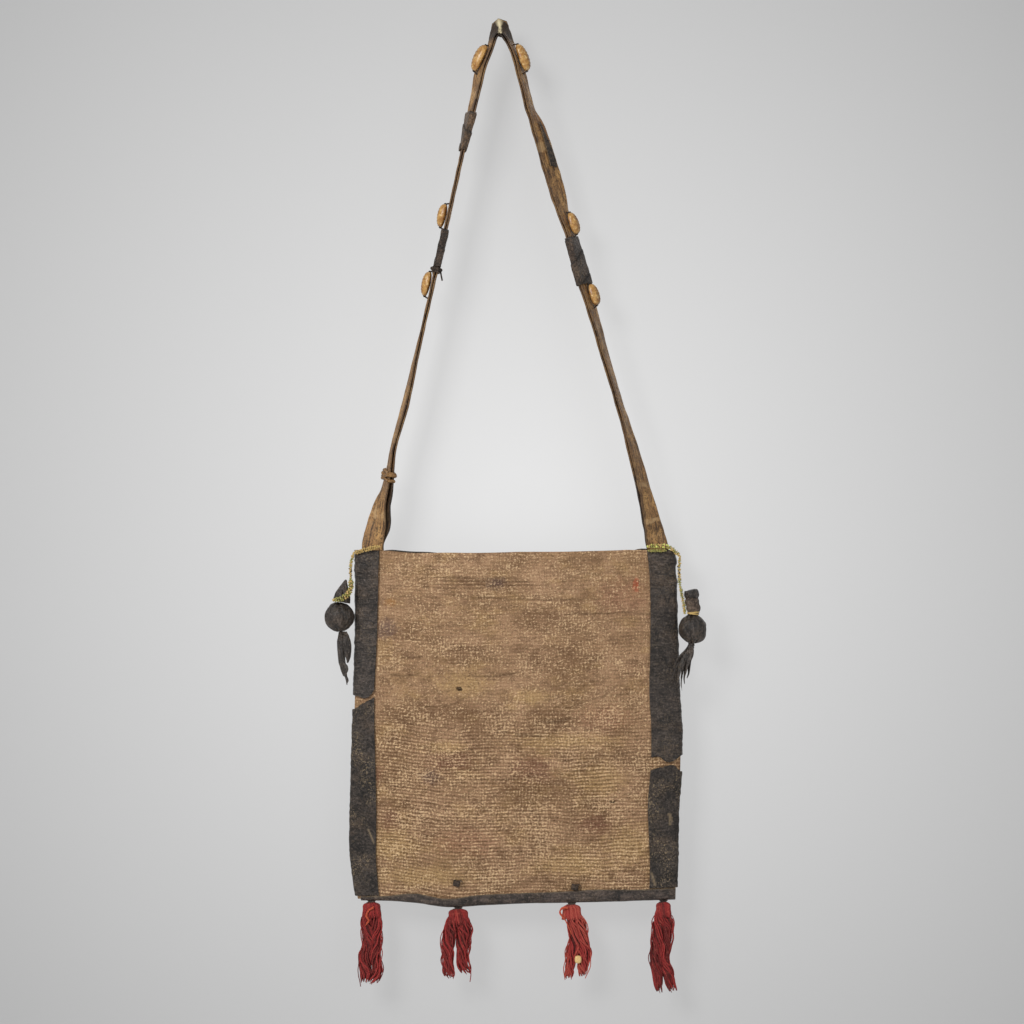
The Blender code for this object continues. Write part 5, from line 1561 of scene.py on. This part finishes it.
class BAG_OT_pendants(bpy.types.Operator):
    """The two leather-covered balls with their hoods, ties and tails"""

    bl_idname = "bag.pendants"
    bl_label = "Pendants"

    def execute(self, context):
        bag = context.scene.bag
        leather = bag.leather
        soft = goat_leather(
            "soft_black_leather", leather.pendant_colour, leather.wear_colour, 0.42, (2.6, 2.6, 9), 0.3
        )
        brown = goat_leather("worn_brown_leather", linear("#54463b"), linear("#8d7759"), 0.6, (3, 3, 2), 0.6)
        beads = glass_beads(bag.trim)
        rng = random.Random(9)
        self.add_left(soft, beads, rng)
        self.add_right(soft, brown, beads, rng)
        return {"FINISHED"}

    def add_turned(self, name, side, profile, finish, pleats):
        """A solid round a wandering line of (mm out, mm up, radius in mm)."""
        path = smooth_path([corner(side, out, up) for out, up, _ in profile], 5)
        radii = tuple((i / (len(profile) - 1), r) for i, (*_, r) in enumerate(profile))
        built = bmesh.new()
        lay_tube(built, path, lambda v: through(radii, v) * MM, 32, pleats=pleats)
        rumple(close_up(built), (0.25 * MM, 0.003, 2.0), (0.35 * MM, 0.008, 5.0))
        add_piece(name, built, finish, name[:name.rindex("_")])

    def add_left(self, soft, beads, rng):
        ball = corner(-1, *LEFT_BALL)
        radii = [BALL_LEFT * k for k in (1.03, 0.97, 1.0)]
        piece = add_piece(
            "left_ball_cover", gathered_ball(ball, radii, 11, 1.0), soft, "left_pendant",
            ["left_pendant_ball"],
        )
        top = LEFT_BALL[1] + BALL_LEFT / MM
        self.add_turned("left_pendant_hood", -1, (
            (9.6, -25.6, 0.6), (10.6, -29.5, 2.3), (11.7, -34, 4.6), (12.8, -39.5, 6.7),
            (13.8, top + 0.6, 7.4),
        ), soft, (7, 0.09))
        built = bmesh.new()
        path = [
            corner(-1, 5.3, -24.35), corner(-1, 5.2, -33.5, TRIM_DEPTH - 4.2),
            corner(-1, 8.4, -39.5, TRIM_DEPTH - 8.4), corner(-1, 14.4, -42.8, TRIM_DEPTH - 9.6),
            corner(-1, 20.4, -43.6, TRIM_DEPTH - 6.9),
        ]

        def tints(t):
            return (0.12, 0.5) if rng.random() > 0.3 else (0.55, 0.85)

        lay_beads(built, smooth_path(path, 8), 1.1 * MM, rng, tints, 4, 1.7 * MM)
        bead_piece("left_pendant_beads", built, beads, "left_pendant")
        low = LEFT_BALL[1] - BALL_LEFT / MM
        strips = bmesh.new()
        for points, halves, twist in (
            (((13.9, low - 0.6, 0), (14.4, -82, 0.4), (14, -96, 0.6), (12.2, -108, 0.3), (11.4, -112, 0)),
             (2, 3.3, 3, 2.6, 0.8), 0.5),
            (((10.6, low - 0.6, -1), (9.2, -78, -1.6), (8, -88, -1.4), (7.6, -97, -1), (8.2, -100, -0.4)),
             (1.8, 3.4, 3.6, 2.8, 0.9), -0.5),
            (((13.2, low - 0.6, 1), (12.6, -84, 1.6), (11.6, -100, 1.4), (9.8, -112, 1), (8.6, -120, 1)),
             (1.8, 2.2, 2.2, 2.8, 0.8), 1.3),
            (((12, -100, -0.6), (9.4, -105, -1.4), (10.8, -110, -1), (7.8, -115, -1), (9, -119, 0)),
             (1.2, 2.6, 2.9, 2.4, 0.8), 1.8),
        ):
            lay_strip(strips, -1, points, halves, twist)
        neck = smooth_path(
            [corner(-1, 12.3, low - 0.3), corner(-1, 12.3, low - 2.5), corner(-1, 12, low - 5)], 5
        )
        lay_tube(strips, neck, lambda v: (3.3 + 0.4 * math.sin(18 * v)) * MM, 24, flat=0.8, pleats=(7, 0.06))
        rumple(close_up(strips), (0.3 * MM, 0.004, 3.0))
        add_piece("left_tails", strips, soft, "left_pendant", ["left_pendant_tails"])

    def add_right(self, soft, brown, beads, rng):
        ball = corner(1, *RIGHT_BALL)
        radii = [BALL_RIGHT * k for k in (1.0, 0.97, 1.0)]
        lobe = ((0.62, -0.35, -0.7), 1.5 * MM, 5)
        piece = add_piece(
            "right_ball_cover", gathered_ball(ball, radii, 9, 4.0, lobe), soft, "right_pendant",
            ["right_pendant_ball"],
        )
        top = RIGHT_BALL[1] + BALL_RIGHT / MM
        low = RIGHT_BALL[1] - BALL_RIGHT / MM
        self.add_turned("right_pendant_cap", 1, (
            (16, -34.6, 3.2), (16.2, -35.8, 5.8), (16, -38, 6.6), (16, -40.4, 6.5), (16, -42.4, 5.2),
        ), soft, (7, 0.08))
        self.add_turned("right_pendant_neck", 1, (
            (16.2, -41.6, 5.2), (16.6, -45, 6), (17.2, -48, 5.4), (17.6, -51, 6), (17.6, -54, 5.2),
            (17.2, -57.4, 4.2),
        ), brown, (8, 0.08))
        ties = bmesh.new()
        loops = [(17.6, -54.9, 5.0, 0.75, 0.5), (17.4, -56.1, 5.0, 0.7, -0.6)]
        for out, up, r, thick, lean in loops:
            centre = corner(1, out, up)
            ring = [
                centre + Vector((r * math.cos(a), r * math.sin(a), lean * math.cos(a))) * MM
                for a in turns(30)
            ]
            lay_tube(ties, ring, thick * MM, 7, ("tint",), (0.6,))
        add_piece("right_tie", close_up(ties), beads, "right_pendant", ["right_pendant_tie"])
        built = bmesh.new()
        path = [
            corner(1, 6.1, -32.45), corner(1, 7.9, -42), corner(1, 9.3, -49),
            corner(1, 9.8, -55.5, TRIM_DEPTH - 3),
        ]
        lay_beads(built, smooth_path(path, 8), 1.0 * MM, rng, lambda t: (0.15, 0.75), 3, 0.9 * MM)
        bead_piece("right_pendant_beads", built, beads, "right_pendant")
        strips = bmesh.new()
        for points, halves, twist in (
            (((15.8, low - 0.5, 0), (13.2, -90, 0.4), (7.6, -99, 0.6), (4.2, -111, 0), (2.8, -123, 0)),
             (1.8, 2.2, 2.4, 2.0, 0.6), 1.1),
            (((15.9, low - 0.6, -1), (15, -93, -1.8), (11.6, -103, -1.6), (9.4, -113, -1), (9.8, -119, -1)),
             (1.5, 1.9, 2.0, 1.8, 0.6), 1.4),
            (((15.6, low - 0.6, 1), (11.6, -89, 1.4), (4.6, -97, 1), (0.2, -106, 0.6), (-1.8, -115, 0.4)),
             (1.5, 1.8, 2.1, 1.8, 0.6), -1.2),
            (((15.8, low - 0.6, -0.6), (14.2, -92, -1), (8.8, -104, -1.9), (6.8, -116, -1.4), (7.4, -125, -1)),
             (1.5, 1.7, 1.8, 1.5, 0.5), -1.6),
            (((16.2, low - 0.6, 0.6), (16.6, -91, 1), (14.2, -100, 1.4), (13.6, -109, 1), (12, -114, 1)),
             (1.4, 1.6, 1.7, 1.4, 0.5), 1.0),
        ):
            lay_strip(strips, 1, points, halves, twist)
        neck = smooth_path(
            [corner(1, 15.8, low - 0.3), corner(1, 15.8, low - 3), corner(1, 15.2, low - 6.5)], 5
        )
        lay_tube(strips, neck, lambda v: (2.7 + 0.3 * math.sin(20 * v)) * MM, 24, flat=0.8, pleats=(7, 0.06))
        rumple(close_up(strips), (0.3 * MM, 0.004, 7.0))
        add_piece("right_tails", strips, soft, "right_pendant", ["right_pendant_tails"])


TASSEL_Y = -0.8 * MM
TASSELS = {
    "tassel_1": (-1, 12.9, (
        ((6.6, -2.4, 4.5), (18.3, -5.1, 5), (37.2, -2.4, 5), (48.9, -6.9, 5), (62.4, -6.5, 5),
         (74, -7.8, 3.6)),
        ((6.6, 2.1, 4.5), (18.3, 4.8, 5), (37.2, 3.9, 5), (48.9, 3, 5), (62.4, 5.2, 5.4), (75, 1.2, 4.5)),
    )),
    "tassel_2": (-1, 90.9, (
        ((8.3, -3.3, 5), (17, -6, 6), (29.8, -8.2, 5.6), (45.3, -9.2, 4.6), (58.8, -8.4, 5),
         (64.2, -7.5, 3.6)),
        ((8.3, 3.3, 5), (17, 5, 6.3), (30, 4.4, 6), (45.3, 3.4, 4.8), (53.4, 4.6, 5.6), (59.7, 7.8, 4.2)),
    )),
    "tassel_3": (1, 91.1, (
        ((8.3, -0.6, 4.5), (20, 3, 5.4), (35.3, 4.8, 5.4), (44.3, 1.2, 5.4), (56, -1.5, 4), (68.6, -3.3, 3)),
        ((8.3, 2.1, 4.5), (20, 8.4, 5.4), (35.3, 12, 5), (44.3, 12.9, 5.8), (56, 12, 4.5), (66.8, 11, 2.7)),
    )),
    "tassel_4": (1, 8.6, (
        ((7.2, -2.1, 3.6), (18, -3.9, 5.4), (37.8, -5.2, 5.4), (51.3, -7, 5.2), (67.5, -6.1, 4.5),
         (82.8, -4.3, 3)),
        ((7.2, 1.5, 3.6), (18, 3.3, 5.4), (37.8, 2.4, 5), (51.3, 0.2, 4.5), (64.8, 4.2, 5), (82.8, 9.6, 4)),
    )),
}
# How bright each tassel's yarn is, from dark maroon to new red
TASSEL_TINTS = {
    "tassel_1": (0.1, 0.66), "tassel_2": (0.15, 0.72), "tassel_3": (0.6, 1.0), "tassel_4": (0.05, 0.6)
}
SKEIN_HEAD = 5.6
SKEIN_HEAD_HALF = 1.4
# Loops at a tassel's top: (mm down, share of the half width), and each top's half width in mm
HEAD = ((1.2, 0.1), (1.7, 0.3), (2.4, 0.56), (3.3, 0.84), (4.8, 1.0), (8, 1.02), (12, 1.12), (15, 1.18))
HEAD_HALF = {"tassel_1": 7.8, "tassel_2": 8.6, "tassel_3": 8.0, "tassel_4": 6.4}
HEAD_STRANDS = 34
HEAD_FLAT = 0.6
# How much wider a tassel's skeins are than in its rows, and how much closer together
WIDER = {"tassel_1": 1.12, "tassel_2": 1.14, "tassel_3": 1.2, "tassel_4": 1.12}
CLOSER = {"tassel_1": 0.85, "tassel_2": 1.0, "tassel_3": 0.85, "tassel_4": 0.9}
SKEIN_DEPTH = 0.9
SKEIN_LEAN = 0.6 * MM
STRAND_STEPS = 34
GOLDEN_TURN = 2.39996  # radians between one strand and the next, which spreads them evenly
STRAYS = 14
# Bright strands: (mm right, mm down) from the tassel's top, and how many
LOOSE = {
    1: (((1.5, 5), (-2.5, 9), (-4.5, 13), (-2.5, 17), (-5, 21)), 3),
    3: (((-3, 3.5), (-8.5, 4), (-10.5, 8), (-6, 14), (-3, 20), (-0.5, 27)), 2),
}
THONG_R = 0.9 * MM
THONG_LENGTH = 3.0 * MM
THONG_GAP = 0.5 * MM
LACE_PLEATS = (3, 0.08)  # a cut lace is three-sided
# Two leather loops come out of the binding over each tassel: half width, drop, radius, and their bow
LOOP_HALF = 3.4 * MM
LOOP_DROP = 0.62 * MM
LOOP_R = 0.72 * MM
LOOP_APART = 1.5 * MM
LOOP_BOW = ((-1, 1.4), (-0.86, 0), (-0.45, -0.9), (0, -1), (0.45, -0.9), (0.86, 0), (1, 1.4))


def in_from(side, inset):
    return MIDDLE_X + side * (BAG_WIDTH / 2 - inset * MM)


def binding_underside(x):
    return cloth_z(across_at(x, -DROP - BAG_HEIGHT), 0) - EDGE_CLEAR - LEATHER


def lay_skein(built, x, under, lean, rings, strands, radius, tints, rng):
    """Adds one half of a tassel: strands that wind loosely round each other as they fall."""
    twist = rng.choice((-1, 1)) * 0.085
    stations = [(SKEIN_HEAD, 0, SKEIN_HEAD_HALF), *rings]
    asides = tuple((drop, aside) for drop, aside, _ in stations)
    halves = tuple((drop, half) for drop, _, half in stations)
    for k in range(strands):
        reach = math.sqrt((k + 0.5) / strands)
        start = GOLDEN_TURN * k + rng.uniform(-0.3, 0.3)
        low = stations[-1][0] + rng.uniform(-4.5, 0.6) - 2.5 * (1 - reach)
        thick = radius * rng.uniform(0.85, 1.12)
        wobble = rng.uniform(0, 40)
        # Strands nearer the skein's middle get a darker tint: painted shade inside the skein, on top of the
        # uneven fading.
        tint = rng.uniform(*tints) * lerp(0.35, 1.0, reach)
        points = []
        for s in range(STRAND_STEPS + 1):
            drop = lerp(SKEIN_HEAD, low, s / STRAND_STEPS)
            half = max(0.3, through(halves, drop) - thick / MM * 0.9)
            loose = 1 + 0.16 * ripple((drop, wobble, 0), 9.0) + 0.1 * ease(0.8, 1, s / STRAND_STEPS)
            a = start + twist * drop + 0.9 * ripple((drop, 0, wobble), 12.0)
            r = half * reach * loose
            y = TASSEL_Y + lean * ease(4, 12, drop) + SKEIN_DEPTH * r * MM * math.sin(a)
            points.append(Vector((x + (through(asides, drop) + r * math.cos(a)) * MM, y, under - drop * MM)))

        def thickness(v):
            return thick * lerp(0.55, 1, ease(0, 0.12, v)) * lerp(1, 0.35, ease(0.93, 1, v))

        lay_tube(built, points, thickness, 7, ("tint",), (tint,))
    # The heart of the skein, in the yarn's darkest colour, closes the gaps between the strands: painted shade.
    drops = [lerp(stations[0][0], stations[-1][0] - 5, i / 24) for i in range(25)]
    path = [
        Vector((x + through(asides, d) * MM, TASSEL_Y + lean * ease(4, 12, d), under - d * MM)) for d in drops
    ]
    sizes = tuple((d, 0.66 * h) for d, h in halves)

    def core(v):
        return through(sizes, lerp(drops[0], drops[-1], v)) * MM * lerp(1, 0.4, ease(0.85, 1, v))

    lay_tube(built, path, core, 14, ("tint",), (0.0,), SKEIN_DEPTH * 0.8, (7, 0.12))


class BAG_OT_tassels(bpy.types.Operator):
    """Four red yarn tassels on leather thongs"""

    bl_idname = "bag.tassels"
    bl_label = "Tassels"

    def execute(self, context):
        trim = context.scene.bag.trim
        red = spun_yarn("plied_red_wool", (trim.yarn_dark, trim.yarn_red, trim.yarn_light))
        dark = goat_leather("thong_leather", linear("#2e2621"), linear("#5d4a37"), 0.6, (2, 2, 2), 0.3)
        rng = random.Random(12)
        for name, (side, inset, skeins) in TASSELS.items():
            x = in_from(side, inset)
            under = binding_underside(x)
            number = name[-1]
            built = bmesh.new()
            wide, near = WIDER[name], CLOSER[name]
            skeins = [[(drop, aside * near, half * wide) for drop, aside, half in rings] for rings in skeins]
            for lean, rings in zip((-SKEIN_LEAN, SKEIN_LEAN), skeins):
                lay_skein(
                    built, x, under, lean, rings, trim.strands, trim.strand * 1.2, TASSEL_TINTS[name],
                    rng,
                )
            self.add_strays(built, x, under, skeins, TASSEL_TINTS[name], rng)
            add_piece(f"yarn_{number}", close_up(built), red, f"yarn_{number}", [name], 180)
            lashing = bmesh.new()
            for k in range(3):
                drop = 1.25 + 0.45 * k
                r = through(HEAD, drop) * HEAD_HALF[name] + 0.6
                ring = [
                    Vector((x + r * math.cos(a) * MM, TASSEL_Y + HEAD_FLAT * r * math.sin(a) * MM,
                            under - (drop + 0.3 * math.sin(a + k)) * MM))
                    for a in turns(24)
                ]
                lay_tube(lashing, ring, 0.5 * MM, 7)
            add_piece(f"lashing_{number}", close_up(lashing), dark, f"thong_{number}", [])
            thong = bmesh.new()
            top = under - THONG_GAP
            path = [Vector((x, TASSEL_Y, top - k / 8 * THONG_LENGTH)) for k in range(9)]
            lay_tube(thong, path, lambda v: THONG_R * (1 - 0.5 * abs(2 * v - 1) ** 5), 16, pleats=LACE_PLEATS)
            add_piece(f"thong_{number}", close_up(thong), dark, f"thong_{number}", [f"tassel_thong_{number}"])
            loops = bmesh.new()
            for y in (TASSEL_Y - LOOP_APART, TASSEL_Y + LOOP_APART):
                bow = smooth_path([(x + LOOP_HALF * a, y, under + LOOP_DROP * b) for a, b in LOOP_BOW], 5)
                lay_tube(loops, bow, LOOP_R, 9, pleats=LACE_PLEATS)
            add_piece(f"thong_loops_{number}", close_up(loops), dark, stands_for=[])
            self.add_head(name, x, under, trim, red, rng)
        self.add_loose_strand("new_strand_1", 1, trim, rng)
        self.add_loose_strand("new_strand_3", 3, trim, rng)
        self.add_yarn_bead(trim)
        return {"FINISHED"}

    def add_head(self, name, x, under, trim, red, rng):
        """The loops of yarn through which the thong is tied."""
        built = bmesh.new()
        drops = tuple((i / (len(HEAD) - 1), drop) for i, (drop, _) in enumerate(HEAD))
        widths = tuple((i / (len(HEAD) - 1), share) for i, (_, share) in enumerate(HEAD))
        for k in range(HEAD_STRANDS):
            a = 2 * math.pi * (k + rng.uniform(-0.2, 0.2)) / HEAD_STRANDS
            reach = HEAD_HALF[name] - trim.strand / MM
            points = []
            for s in range(13):
                v = s / 12
                turn = a + 0.5 * v
                wide = through(widths, v) * reach * (1 + 0.06 * ripple((k, v * 3, 0), 1.0))
                points.append(Vector((
                    x + wide * math.cos(turn) * MM, TASSEL_Y + HEAD_FLAT * wide * math.sin(turn) * MM,
                    under - through(drops, v) * MM,
                )))
            tint = rng.uniform(*TASSEL_TINTS[name])
            lay_tube(
                built, points, lambda v: trim.strand * 1.25 * lerp(1, 0.6, ease(0.85, 1, v)), 7,
                ("tint",), (tint,),
            )
        # The heart of the head, nearly the yarn's darkest colour: painted shade inside the head.
        core = [Vector((x, TASSEL_Y, under - lerp(0.8, 10, k / 10) * MM)) for k in range(11)]

        def heart(v):
            return 0.8 * HEAD_HALF[name] * through(widths, v) * MM

        lay_tube(built, core, heart, 20, ("tint",), (0.05,), HEAD_FLAT)
        add_piece(f"yarn_top_{name[-1]}", close_up(built), red, f"thong_{name[-1]}", [], 180)

    def add_strays(self, built, x, under, skeins, tints, rng):
        """Thin ends and loops that have come loose from a tassel's outside."""
        for k in range(STRAYS):
            rings = skeins[k % 2]
            side = -1 if k % 2 == 0 else 1
            asides = tuple((drop, aside) for drop, aside, _ in rings)
            halves = tuple((drop, half) for drop, _, half in rings)
            top = rng.uniform(10, 45)
            length = rng.uniform(14, 34)
            out, wobble = rng.uniform(0.2, 2.2), rng.uniform(0, 40)
            points = []
            for s in range(15):
                drop = top + length * s / 14
                away = through(halves, drop) + out * math.sin(math.pi * s / 14) - 0.4
                a = math.radians(20 + 50 * ripple((drop, wobble, 1), 12.0))
                aside = through(asides, drop) + side * away * math.cos(a)
                points.append(
                    Vector((x + aside * MM, TASSEL_Y - 0.8 * away * math.sin(abs(a)) * MM, under - drop * MM))
                )
            lay_tube(built, points, 0.42 * MM, 5, ("tint",), (rng.uniform(*tints),))

    def add_loose_strand(self, name, number, trim, rng):
        """A bright strand that has come out of a tassel's head."""
        bright = spun_yarn("new_orange_wool", (trim.yarn_red, linear("#cf5a3a"), linear("#e98a5e")))
        side, inset, _ = TASSELS[f"tassel_{number}"]
        x = in_from(side, inset)
        under = binding_underside(x)
        built = bmesh.new()
        for k in range(LOOSE[number][1]):
            points = []
            for out, drop in LOOSE[number][0]:
                jitter = Vector((rng.uniform(-0.6, 0.6), 0, rng.uniform(-0.6, 0.6))) * MM
                points.append(
                    Vector((x + out * MM, TASSEL_Y - (5.6 + 0.3 * k) * MM, under - drop * MM)) + jitter
                )
            lay_tube(
                built, evenly(smooth_path(points, 6), 26), lambda v: 0.8 * MM * (1 - 0.5 * v), 7,
                ("tint",), (0.6,),
            )
        add_piece(name, close_up(built), bright, f"yarn_{number}", [], 180)

    def add_yarn_bead(self, trim):
        """The flat yellow bead on the third tassel."""
        side, inset, _ = TASSELS["tassel_3"]
        x = in_from(side, inset)
        centre = Vector((x, TASSEL_Y, binding_underside(x))) + Vector((5.6, -5.8, -50)) * MM
        finish = Finish("yellow_glass", "#d8b67a", 0.3).done()
        built = bmesh.new()
        for vert in lay_ball(built, centre, (1, 1, 1), None, (32, 24)):
            near = vert.co - centre
            square = max(abs(near.x), abs(near.z), 0.5)
            vert.co = centre + Vector((near.x * 3.5, near.y * 1.5, near.z * 4)) * MM * (0.6 + 0.28 / square)
        add_piece("yellow_bead", built, finish, "yarn_3", ["tassel_3_bead"])


class BAG_OT_knots(bpy.types.Operator):
    """Knotted ends of two thongs on the face"""

    bl_idname = "bag.knots"
    bl_label = "Knots"

    def execute(self, context):
        dark = goat_leather("knot_leather", linear("#3a2f27"), linear("#77624a"), 0.55, (2, 2, 2), 0.4)
        for name, side, inset, up in (("face_knot_left", -1, 89.5, 16.8), ("face_knot_right", 1, 88.4, 13.2)):
            x, z = in_from(side, inset), -DROP - BAG_HEIGHT + up * MM
            y = front_at(x, z + 1.6 * MM, 2 * MM) - GAP - 2.56 * MM
            centre = Vector((x, y, z))
            built = bmesh.new()
            lay_ball(built, centre, (3.2 * MM, 1.9 * MM, 2.8 * MM), None, (16, 12))
            tail = [centre, centre + Vector((3.4, -0.5, 2.4)) * MM, centre + Vector((5.4, 0.4, 1.0)) * MM]
            lay_tube(built, smooth_path(tail, 4), lambda v: 0.8 * MM * (1 - 0.5 * v), 7)
            for turn in (0.5, 2.3):
                lay = Vector((math.cos(turn), 0, math.sin(turn)))
                ring = [
                    centre + (lay * 2.9 * math.cos(a) + Vector((0, 2, 0)) * math.sin(a)
                              + lay.cross(Vector((0, 1, 0))) * 0.7 * math.sin(2 * a)) * MM
                    for a in turns(28)
                ]
                lay_tube(built, ring, 0.95 * MM, 8)
            add_piece(name, close_up(built), dark)
        return {"FINISHED"}


# Stage

CAMERA_LENS = 100
CAMERA_SENSOR = 36
CAMERA_DISTANCE = 2.56
CENTRE = Vector((10.8 * MM, 0, -425.2 * MM))
FLOOR_Z = -1.02


class BAG_OT_stage(bpy.types.Operator):
    """Backdrop, lamps and camera"""

    bl_idname = "bag.stage"
    bl_label = "Stage"

    def execute(self, context):
        stage = context.scene.bag.stage
        wall_y = 3.6 * MM + stage.wall_gap

        def wall(u, v):
            return Vector((lerp(-2.2, 2.2, u), wall_y, lerp(FLOOR_Z, 1.4, v)))

        def floor(u, v):
            return Vector((lerp(-3, 3, u), lerp(-3, 3, v), FLOOR_Z - 0.002))

        for name, rule, finish, behind in (
            ("backdrop", wall, backdrop_paper(stage), (0, 5, 0)),
            ("floor", floor, Finish("floor_paper", stage.pale, 1.0, 0.0).done(), (0, 0, -5)),
        ):
            built = bmesh.new()
            lay_grid(built, 2, 2, rule)
            turn_away(built, behind)
            mesh = bpy.data.meshes.new(name)
            built.to_mesh(mesh)
            built.free()
            mesh.materials.append(finish)
            piece = bpy.data.objects.new(name, mesh)
            context.scene.collection.objects.link(piece)
        for name, place, size, power in (
            ("key", (-1.15, -1.9, 0.75), 0.9, 44), ("fill", (1.6, -2.0, -0.2), 1.6, 8),
            ("back", (0.5, 1.8, 0.4), 1.2, 14),
        ):
            lamp = bpy.data.lights.new(name, "AREA")
            lamp.size, lamp.energy = size, power
            holder = bpy.data.objects.new(name, lamp)
            context.scene.collection.objects.link(holder)
            holder.location = place
            holder.rotation_euler = (CENTRE - Vector(place)).to_track_quat("-Z", "Y").to_euler()
            holder.visible_camera = False
        world = bpy.data.worlds.new("studio")
        world.use_nodes = True
        sky = world.node_tree.nodes["Background"]
        sky.inputs[0].default_value = (0.9, 0.9, 0.9, 1)
        sky.inputs[1].default_value = 0.40
        context.scene.world = world
        camera = bpy.data.cameras.new("camera")
        camera.lens, camera.sensor_width = CAMERA_LENS, CAMERA_SENSOR
        camera.dof.use_dof = False
        holder = bpy.data.objects.new("camera", camera)
        context.scene.collection.objects.link(holder)
        holder.location = CENTRE - Vector((0, CAMERA_DISTANCE, 0))
        holder.rotation_euler = (math.radians(90), 0, 0)
        context.scene.camera = holder
        context.scene.view_settings.view_transform = "Standard"
        context.scene.render.resolution_x = context.scene.render.resolution_y = 1024
        return {"FINISHED"}


OPERATORS = (
    BAG_OT_cloth, BAG_OT_bands, BAG_OT_strap, BAG_OT_strap_leather, BAG_OT_cowries, BAG_OT_beads,
    BAG_OT_pendants, BAG_OT_tassels, BAG_OT_knots, BAG_OT_stage,
)


class BAG_PT_panel(bpy.types.Panel):
    """Buttons for each group of pieces, and their settings"""

    bl_idname = "BAG_PT_panel"
    bl_label = "Bag"
    bl_space_type = "VIEW_3D"
    bl_region_type = "UI"
    bl_category = "Bag"

    def draw(self, context):
        bag = context.scene.bag
        for group in (bag.pouch, bag.leather, bag.strap, bag.trim, bag.stage):
            box = self.layout.box()
            for name in group.__annotations__:
                box.prop(group, name)
        for operator in OPERATORS:
            self.layout.operator(operator.bl_idname)


CLASSES = (
    PouchSettings, LeatherSettings, StrapSettings, TrimSettings, StageSettings, BagSettings, *OPERATORS,
    BAG_PT_panel,
)


def register():
    for cls in CLASSES:
        bpy.utils.register_class(cls)
    bpy.types.Scene.bag = PointerProperty(type=BagSettings)


def unregister():
    del bpy.types.Scene.bag
    for cls in reversed(CLASSES):
        bpy.utils.unregister_class(cls)


def main():
    register()
    for operator in OPERATORS:
        group, name = operator.bl_idname.split(".")
        getattr(getattr(bpy.ops, group), name)()


if __name__ == "__main__":
    main()
